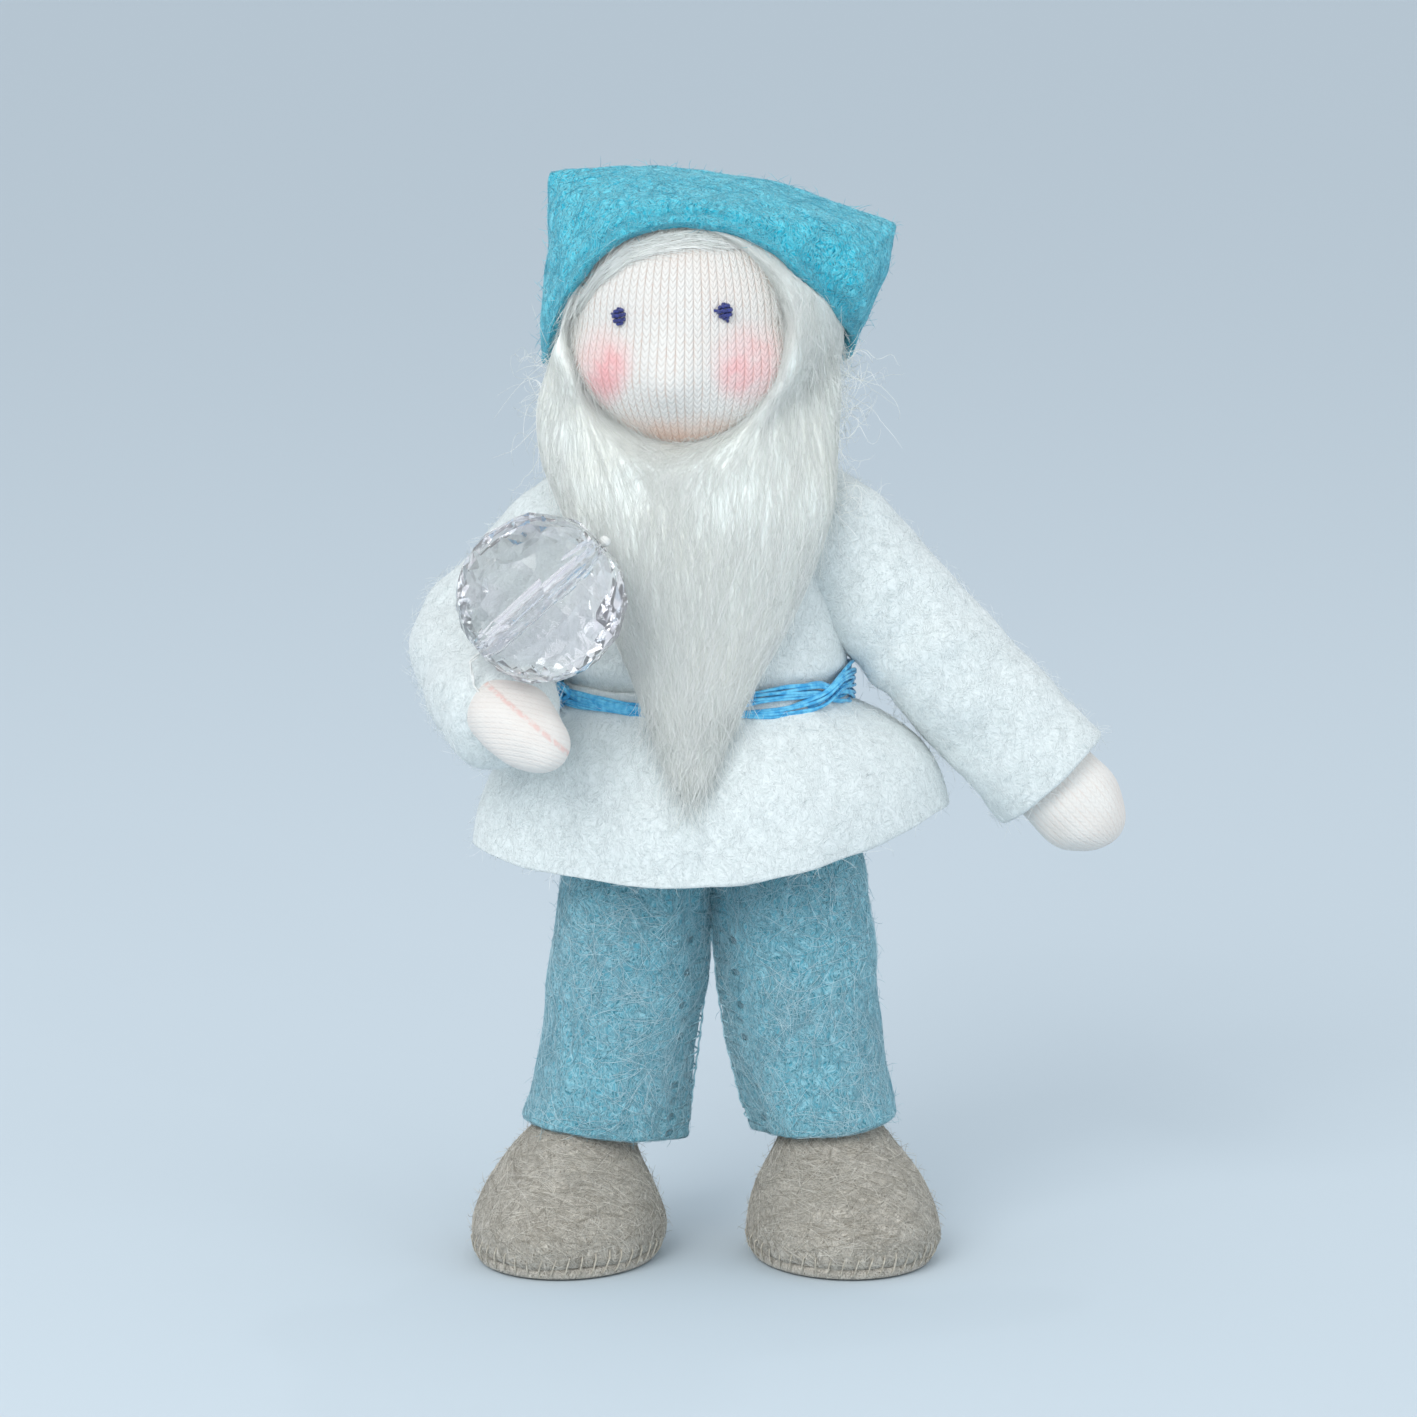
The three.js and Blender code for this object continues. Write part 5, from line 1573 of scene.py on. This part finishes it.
def makeBead():
    look = beadLook
    deselectAll()
    bpy.ops.mesh.primitive_uv_sphere_add(
        segments=look["sides"], ring_count=look["rows"], radius=look["radius"] * mm
    )
    bead = bpy.context.object
    bead.name = "glass_bead"
    settle(bead, lying(beadMiddle, boreWay))
    # a moulded bead: no two of its facets lie quite alike
    rng = np.random.default_rng(3)
    points = meshPoints(bead)
    setPoints(bead, points + rng.normal(0, look["uneven"] * mm, points.shape))
    useModifier(bead, "TRIANGULATE")
    for way, far in ((boreWay, look["end"]), (-boreWay, look["end"]),
                     (Vector((-0.34, -0.92, 0.16)).normalized(), look["window"]),
                     (Vector((0.4, 0.9, -0.1)).normalized(), look["window"])):
        cutOff(bead, beadMiddle + way * far * mm, way, fill=True)
    deselectAll()
    bpy.ops.mesh.primitive_cylinder_add(vertices=24, radius=look["bore"] * mm, depth=30 * mm)
    drill = bpy.context.object
    settle(drill, lying(beadMiddle, boreWay))
    useModifier(bead, "BOOLEAN", operation="DIFFERENCE", object=drill, solver="EXACT")
    bpy.data.objects.remove(drill)
    outside(bead)
    return bead


bead = makeBead()
clearGlass = flecked("clearGlass", 0.16, 1.0, colour(252, 253, 253), colour(248, 244, 251), 0.4, 0.65,
                     Roughness=0.0, IOR=1.46, Transmission_Weight=0.9, Metallic=0.0)
wear(bead, clearGlass)
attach(bead, "bead")
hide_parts("faceted_bead")

paleThread = flecked("paleThread", 3, 2.0, colour(220, 222, 218), colour(240, 241, 238),
                     Roughness=0.7, Sheen_Weight=0.2)


cordLook = {"ply": 0.09, "apart": 0.11, "knot": 0.45, "knotTall": 0.35, "knotTurns": 6}


def makeCord():
    # from the top of the hand, up through the bore to a knot that stops the bead
    look = {**beadLook, **cordLook}
    handTop = forearmFrame("right") @ Vector((0, 0, 19.4 * mm)) + Vector((-0.9, 0.4, 3.6)) * mm
    route = [handTop, handTop.lerp(beadMiddle - boreWay * (look["radius"] + 1) * mm, 0.5)]
    route[1] += Vector((-0.5, 0, -0.2)) * mm
    through = np.linspace(-look["radius"] - 1, look["radius"] + 0.6, 12)
    route += [beadMiddle + boreWay * (d * mm) for d in through]
    fine = []
    for i in range(len(route) - 1):
        fine += [route[i].lerp(route[i + 1], step / 6) for step in range(6)]
    aside = Vector((0, 1, 0))
    across = boreWay.cross(aside)
    lines = []
    for ply in (0, math.pi):
        line = []
        for i, spot in enumerate(fine):
            turn = ply + i * 0.55
            out = (aside * math.cos(turn) + across * math.sin(turn)) * look["apart"]
            line.append(spot + out * mm)
        lines.append(line)
    knot = []
    middle = beadMiddle + boreWay * (look["end"] + 0.55) * mm
    for i in range(110):
        t = i / 109
        tilt = (t - 0.5) * math.pi * 0.9
        turn = t * 2 * math.pi * look["knotTurns"]
        spot = (aside * math.cos(turn) + across * math.sin(turn)) * math.cos(tilt) * look["knot"]
        knot.append(middle + (spot + boreWay * math.sin(tilt) * look["knotTall"]) * mm)
    lines.append(knot)
    return threads("bead_cord", lines, look["ply"])


cord = makeCord()
wear(cord, paleThread)
smoothShade(cord)
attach(cord, "right_forearm")
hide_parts("bead_thread")
print("bead ready")

# Trousers: two stuffed legs of dusty blue felt, each pinched along its inner seam, and a seat

trouserLook = {
    # height, half width, half depth, and how far aside of the spine the middle is
    "right": [
        (39.5, 4.6, 4, -5.5), (38.6, 6, 5.2, -5.6), (36, 6.8, 6, -5.8), (30.7, 7, 6.3, -6.25),
        (24.2, 7.05, 6.2, -6.95), (19.6, 7, 6.1, -7.4), (15.9, 7.15, 6.2, -8.05), (12.1, 7.45, 6.4, -8.8),
        (9, 7.6, 6.5, -9.5), (6, 7.7, 6.6, -10.1),
    ],
    "left": [
        (39.5, 4.6, 4, 7.8), (38.6, 6, 5.2, 7.9), (36, 6.9, 6, 8.1), (29.7, 7.2, 6.3, 8.65),
        (24.2, 7.15, 6.2, 9.1), (19.6, 7.05, 6.1, 9.7), (14.5, 6.85, 6.2, 10.75), (11, 6.7, 6.4, 11.55),
        (9, 6.7, 6.5, 12), (6, 6.8, 6.6, 12.6),
    ],
    "hem": {"right": 11.5, "left": 11.9},
    "hemTilt": 7,
    "wall": 1.2,
    "bite": 1.5,  # from one stitch of the inner seam to the next
    "firstBite": 12.4,
    "bites": 16,
    "thread": 0.085,
    "seat": [
        (34.4, 2, 2.4, 1.1), (35.2, 4.6, 4.4, 1.1), (36.6, 9.5, 6.2, 1.1), (39, 13, 7.6, 1.1),
        (42, 13.6, 8, 1), (46, 12.8, 8, 0.8), (50, 11, 7.4, 0.4),
    ],
}


def innerEdge(side, z):
    # the seam's place aside of the spine at a height
    rings = trouserLook[side][::-1]
    heights = [ring[0] for ring in rings]
    middle = np.interp(z, heights, [ring[3] for ring in rings])
    half = np.interp(z, heights, [ring[1] for ring in rings])
    return middle, half


def seamMap(leg, side):
    # a UV map along the inner seam: how far from it in mm, and stitches counted upwards
    points = localPoints(leg)
    middle, half = innerEdge(side, points[:, 2])
    sign = 1 if side == "right" else -1
    away = (half + 0.3) - (points[:, 0] - middle) * sign
    places = np.stack([away, points[:, 2] / trouserLook["bite"]], axis=1)
    addMap(leg.data, "seam", places[loopVertices(leg.data)])


def makeTrouserLeg(side):
    look = trouserLook
    sign = 1 if side == "right" else -1  # which way its inner side faces
    leg = loft(side + "_trouser_felt", look[side], sides=44, steps=4)
    settle(leg, Matrix.Translation(spine))
    points = localPoints(leg)
    middle, half = innerEdge(side, points[:, 2])
    inward = np.clip((points[:, 0] - middle) / half * sign, 0, 1)
    pinch = np.clip((inward - 0.45) / 0.55, 0, 1) ** 1.5
    points[:, 1] *= 1 - pinch * (1 - np.sqrt(np.clip(1.02 - inward**2, 0, 1)) * 0.9)
    # the whip stitch draws the seam in at every bite
    bite = np.cos(points[:, 2] * 2 * math.pi / look["bite"])
    points[:, 0] += sign * np.clip((inward - 0.75) / 0.25, 0, 1) * (0.35 + 0.14 * bite)
    setLocal(leg, points)
    tilt = math.radians(look["hemTilt"])
    hem = Vector((-sign * math.sin(tilt), 0, -math.cos(tilt)))
    middle, half = innerEdge(side, look["hem"][side])
    cutOff(leg, at(middle, 0, look["hem"][side]), hem)
    feltEdge(leg, hem, look["wall"], 6, (7.2, 6, 7))
    smoothSurface(leg, 1)
    waves(leg, 5, 0.4, seedOf(side, 11))
    waves(leg, 1.6, 0.05, 13)
    seamMap(leg, side)
    wear(leg, seamedFelt)
    smoothShade(leg)
    return leg


def addBites(material):
    # dimples where the seam's stitches go through, darkened with painted shade, and a fold of felt from
    # each to the edge with painted shade along its crease
    tree = material.node_tree
    shader = tree.nodes["Principled BSDF"]
    axes = put(tree, "ShaderNodeSeparateXYZ",
               Vector=put(tree, "ShaderNodeUVMap", {"uv_map": "seam"}).outputs[0]).outputs
    row = less(tree, worked(tree, "FRACT", axes[1]), 0.5)
    number = worked(tree, "FLOOR", axes[1])
    random = put(tree, "ShaderNodeTexWhiteNoise", {"noise_dimensions": "1D"}, W=number).outputs[0]
    spot = less(tree, axes[0], plus(tree, 1.35, times(tree, random, 0.5)))
    level = times(tree, times(tree, row, row), 2.6)
    far = worked(tree, "SQRT", plus(tree, times(tree, spot, spot), level))
    hole = times(tree, ranged(tree, far, 0.42, 0.12), ranged(tree, random, 0.25, 0.7, 0.1, 1.0))
    near = ranged(tree, axes[0], 1.7, 1.0)
    fold = times(tree, ranged(tree, worked(tree, "ABSOLUTE", row), 0.32, 0.5), near)
    crease = times(tree, ranged(tree, worked(tree, "ABSOLUTE", row), 0.2, 0.02), near)
    # painted shade in the stitch holes and along the creases
    dark = worked(tree, "MAXIMUM", times(tree, hole, 0.6), times(tree, crease, 0.12))
    base = shader.inputs["Base Color"].links[0].from_socket
    tree.links.new(mixed(tree, dark, base, colour(38, 92, 110)), shader.inputs["Base Color"])
    bump = shader.inputs["Normal"].links[0].from_node
    relief = put(tree, "ShaderNodeBump", Strength=1.0, Distance=0.2 * mm)
    tree.links.new(less(tree, fold, times(tree, hole, 1.6)), relief.inputs["Height"])
    tree.links.new(relief.outputs[0], bump.inputs["Normal"])


seamedFelt = blueFelt.copy()
seamedFelt.name = "seamedBlueFelt"
addBites(seamedFelt)


def swirl(p):
    # loose fibres lie in eddies on the felt
    field = [noise.noise_vector(Vector(q) / 6.5) for q in p]
    return unit(np.array(field))


def makeSeamStitches(side):
    look = trouserLook
    sign = 1 if side == "right" else -1
    lines = []
    for i in range(look["bites"]):
        z = look["firstBite"] + i * look["bite"]
        middle, half = innerEdge(side, z)
        edge = middle + sign * (half + 0.42)
        line = []
        for k in range(9):
            t = (k - 4) / 4
            line.append(at(edge - sign * 1.5 * abs(t) ** 1.6, t * 1.15, z + 0.55 * t))
        lines.append(line)
    along = []
    for z in np.linspace(13, 33, 60):
        middle, half = innerEdge(side, z)
        out = half + 0.38 + 0.05 * math.sin(z * 4.2)
        along.append(at(middle + sign * out, -0.15 + 0.1 * math.sin(z * 2.1), z))
    return threads(side + "_inseam_stitches", lines + [along], look["thread"])


seamThread = flecked("seamThread", 3, 2.0, colour(128, 176, 190), colour(176, 210, 218),
                     Roughness=0.6, Sheen_Weight=0.2)

shortFuzz = {"shortest": 0.6, "longest": 2, "thickness": 0.036, "curl": 0.35}

for side in ("right", "left"):
    leg = makeTrouserLeg(side)
    lint = fibres(
        side + "_trouser_lint", leg,
        {"count": 3000, "shortest": 1.8, "longest": 7, "thickness": 0.04, "rise": (0, 3), "curl": 0.22,
         "float": 0.1, "steps": 7, "stray": 0.4},
        seedOf(side, 51), swirl, lambda p, n: p[:, 2] < 37,
    )
    fuzz = fibres(
        side + "_trouser_fuzz", leg,
        {**shortFuzz, "count": 1100, "rise": (5, 50)},
        seedOf(side, 53), None, lambda p, n: p[:, 2] < 37,
    )
    stitches = makeSeamStitches(side)
    wear(lint, blueHair)
    wear(fuzz, blueHair)
    wear(stitches, seamThread)
    smoothShade(stitches)
    for piece in (leg, lint, fuzz, stitches):
        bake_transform(piece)
    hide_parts(*[side + node for node in
                       ("_trouser_thigh", "_trouser_shin", "_knee_crease", "_thigh_wool", "_shin_wool")])

seat = loft("trouser_seat_felt", trouserLook["seat"], sides=36, steps=3)
settle(seat, Matrix.Translation(spine))
smoothSurface(seat, 1)
waves(seat, 4, 0.3, 14)
wear(seat, blueFelt)
smoothShade(seat)
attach(seat, "torso")
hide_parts("trouser_seat")
print("trousers ready")

# Shoes: a domed upper of warm grey felt, whip stitched to a flat sole

shoeLook = {
    "aside": {"right": -11.6, "left": 12.5},
    "toesOut": 9,
    "upper": [
        (13.8, 2.6, 2.4, 1.9, 0.2), (13.2, 3.6, 3.4, 1.8, 0.1), (11.6, 4.4, 4.4, 0.8, -0.1),
        (9.2, 6, 6.6, 0, -1), (6.6, 7.5, 9, 0, -2.3), (4, 8.5, 10.6, 0, -3.2), (2.4, 8.75, 10.9, 0, -3.2),
        (1.3, 8.5, 10.6, 0, -3.2), (0.9, 7.6, 9.8, 0, -3.2),
    ],
    "topAside": {"right": 1, "left": -0.5},  # how much of the listed shift the narrow top takes
    "sole": [(0, 7.7, 10, 0, -3.2), (0.15, 8.15, 10.45, 0, -3.2), (0.6, 8.35, 10.65, 0, -3.2),
             (1.1, 8.2, 10.5, 0, -3.2), (1.3, 7.6, 9.9, 0, -3.2)],
    "stitches": 44,
    # a stitch from the sole up: its share of the way, the ellipse it lies on, and its height
    "stitchPath": [
        (0, 8.1, 10.4, 0.3), (0.3, 8.5, 10.75, 0.9), (0.5, 8.66, 10.85, 1.4), (0.8, 8.78, 10.95, 2),
    ],
    "front": 3.2,  # how far in front of the ankle the sole's middle lies
    "welt": (8.9, 10.8),  # half sizes of the outline that the stitches dent
}
shoePlace = {}
for side, sign in (("right", -1), ("left", 1)):
    turn = Matrix.Rotation(math.radians(shoeLook["toesOut"] * sign), 4, "Z")
    shoePlace[side] = Matrix.Translation(at(shoeLook["aside"][side], 0, 0)) @ turn


def roundShoe(side):
    # fibres lie round the toe like the rings of an onion
    middle = shoePlace[side] @ Vector((0, -2.2 * mm, 0))
    middle = (np.array(middle) - np.array(spine)) / mm

    def flow(p):
        way = np.zeros_like(p)
        way[:, 0] = -(p[:, 1] - middle[1])
        way[:, 1] = p[:, 0] - middle[0]
        return unit(way)

    return flow


shoeThread = flecked("shoeThread", 3, 2.0, colour(172, 165, 150), colour(204, 197, 182),
                     Roughness=0.7, Sheen_Weight=0.2)


def makeShoe(side):
    look = shoeLook
    rings = [(z, w, d, x * look["topAside"][side], y) for z, w, d, x, y in look["upper"]]
    upper = loft(side + "_shoe_felt", rings, sides=56, steps=3)
    settle(upper, shoePlace[side])
    smoothSurface(upper, 1)
    # every stitch dents the felt just above the sole
    points = meshPoints(upper)
    local = (points - np.array(shoePlace[side].translation)) / mm
    inverse = np.array(shoePlace[side].to_3x3().inverted())
    local = local @ inverse.T
    angle = np.arctan2((local[:, 1] + look["front"]) / look["welt"][1], local[:, 0] / look["welt"][0])
    dent = np.cos(angle * look["stitches"]) * np.exp(-(((local[:, 2] - 2.1) / 0.8) ** 2)) * 0.14
    normals = meshNormals(upper)
    setPoints(upper, points + normals * (dent * mm)[:, None])
    waves(upper, 5, 0.4, seedOf(side, 15))
    waves(upper, 1.5, 0.04, 17)
    sole = loft(side + "_sole_felt", look["sole"], sides=64, steps=1)
    settle(sole, shoePlace[side])
    smoothSurface(sole, 1)
    for piece in (upper, sole):
        wear(piece, greyFelt)
    smoothShade(upper, sole)
    lines = []
    rng = np.random.default_rng(seedOf(side, 9))
    for i in range(look["stitches"]):
        bite = 2 * math.pi * (i + 0.5) / look["stitches"]
        slant = rng.uniform(0.01, 0.05)
        tall = rng.uniform(2.2, 2.8)
        line = []
        for t, halfWidth, halfDepth, z in look["stitchPath"] + [(1, 8.5, 10.7, tall)]:
            where = bite + slant * (t - 0.5) * 2
            x, y = halfWidth * math.cos(where), halfDepth * math.sin(where) - look["front"]
            spot = Vector((x, y, z))
            line.append(shoePlace[side] @ (spot * mm))
        lines.append(line)
    stitches = threads(side + "_whip_stitches", lines, 0.075)
    wear(stitches, shoeThread)
    smoothShade(stitches)
    lint = fibres(
        side + "_shoe_lint", upper,
        {"count": 3000, "shortest": 2, "longest": 6.5, "thickness": 0.042, "rise": (0, 3), "curl": 0.16,
         "float": 0.1, "steps": 6, "stray": 0.4},
        seedOf(side, 61), roundShoe(side), lambda p, n: p[:, 2] > 1.6,
    )
    fuzz = fibres(
        side + "_shoe_fuzz", upper,
        {**shortFuzz, "count": 1000, "rise": (8, 55)},
        seedOf(side, 63), None, lambda p, n: p[:, 2] > 1.6,
    )
    for piece in (lint, fuzz):
        wear(piece, greyHair)
    for piece in (upper, sole, stitches, lint, fuzz):
        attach(piece, side + "_shin")
    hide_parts(side + "_shoe_upper", side + "_shoe_filling")
    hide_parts(side + "_shoe_sole")
    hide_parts(side + "_sole_thread")


for side in ("right", "left"):
    makeShoe(side)
print("shoes ready")

# Wires and the neck's tie keep their own solids

steel, steelTree, steelShader = newMaterial("steelWire", Metallic=1.0, Roughness=0.32)
steelNoise = cloudy(steelTree, objectPlace(steelTree), 2 / mm, 3.0)
steelTone = mixed(steelTree, steelNoise, colour(150, 150, 152), colour(196, 196, 198))
steelTree.links.new(steelTone, steelShader.inputs["Base Color"])
for obj in bpy.data.objects:
    if obj.type != "MESH":
        continue
    for slot in obj.material_slots:
        if "_wire" in obj.name:
            slot.material = steel
        elif obj.name == "neck_tie":
            slot.material = paleThread
print("wires ready")

# Room: a pale blue-grey floor that runs out of sight, a large soft light and a weak fill

deselectAll()
bpy.ops.mesh.primitive_circle_add(vertices=96, radius=6, fill_type="NGON", location=spine)
floor = bpy.context.object
floor.name = "floor"
paleFloor = newMaterial(
    "paleFloor", Base_Color=colour(204, 216, 224), Roughness=0.9, Specular_IOR_Level=0.1
)[0]
wear(floor, paleFloor)


def softLight(name, place, aim, size, watts, tint):
    deselectAll()
    bpy.ops.object.light_add(type="AREA", location=place)
    lamp = bpy.context.object
    lamp.name = name
    lamp.rotation_euler = (aim - place).to_track_quat("-Z", "Y").to_euler()
    lamp.data.shape = "DISK"
    lamp.data.size = size
    lamp.data.energy = watts
    lamp.data.color = tint


dollMiddle = at(0.77, 0, 50.1)
softLight("key", dollMiddle + Vector((-0.3, -0.6, 0.42)), dollMiddle, 0.5, 2.5, (1, 0.985, 0.965))
softLight("fill", dollMiddle + Vector((0.7, -0.5, 0.2)), dollMiddle, 0.7, 1.1, (0.96, 0.985, 1))

# small lamps that only put glints in the bead
glints = [(-0.2, -0.6, 0.5), (0.25, -0.65, 0.35), (-0.45, -0.4, 0.05), (0.1, 0.3, 0.6)]
for number, place in enumerate(glints):
    softLight("glint" + str(number), dollMiddle + Vector(place), beadMiddle, 0.035, 0.12, (1, 1, 1))

world = bpy.data.worlds.new("room")
bpy.context.scene.world = world
world.use_nodes = True
world.node_tree.nodes["Background"].inputs["Color"].default_value = colour(236, 242, 248)
world.node_tree.nodes["Background"].inputs["Strength"].default_value = 0.9

# Camera: a little above the doll, level with its belt
deselectAll()
bpy.ops.object.camera_add()
camera = bpy.context.object
camera.data.lens = 153.7
camera.data.sensor_width = 36
tilt, away = math.radians(9), 0.55
camera.location = dollMiddle + Vector((0, -math.cos(tilt), math.sin(tilt))) * away
camera.rotation_euler = (dollMiddle - camera.location).to_track_quat("-Z", "Y").to_euler()
bpy.context.scene.camera = camera
bpy.context.scene.view_settings.view_transform = "Standard"
print("room ready")
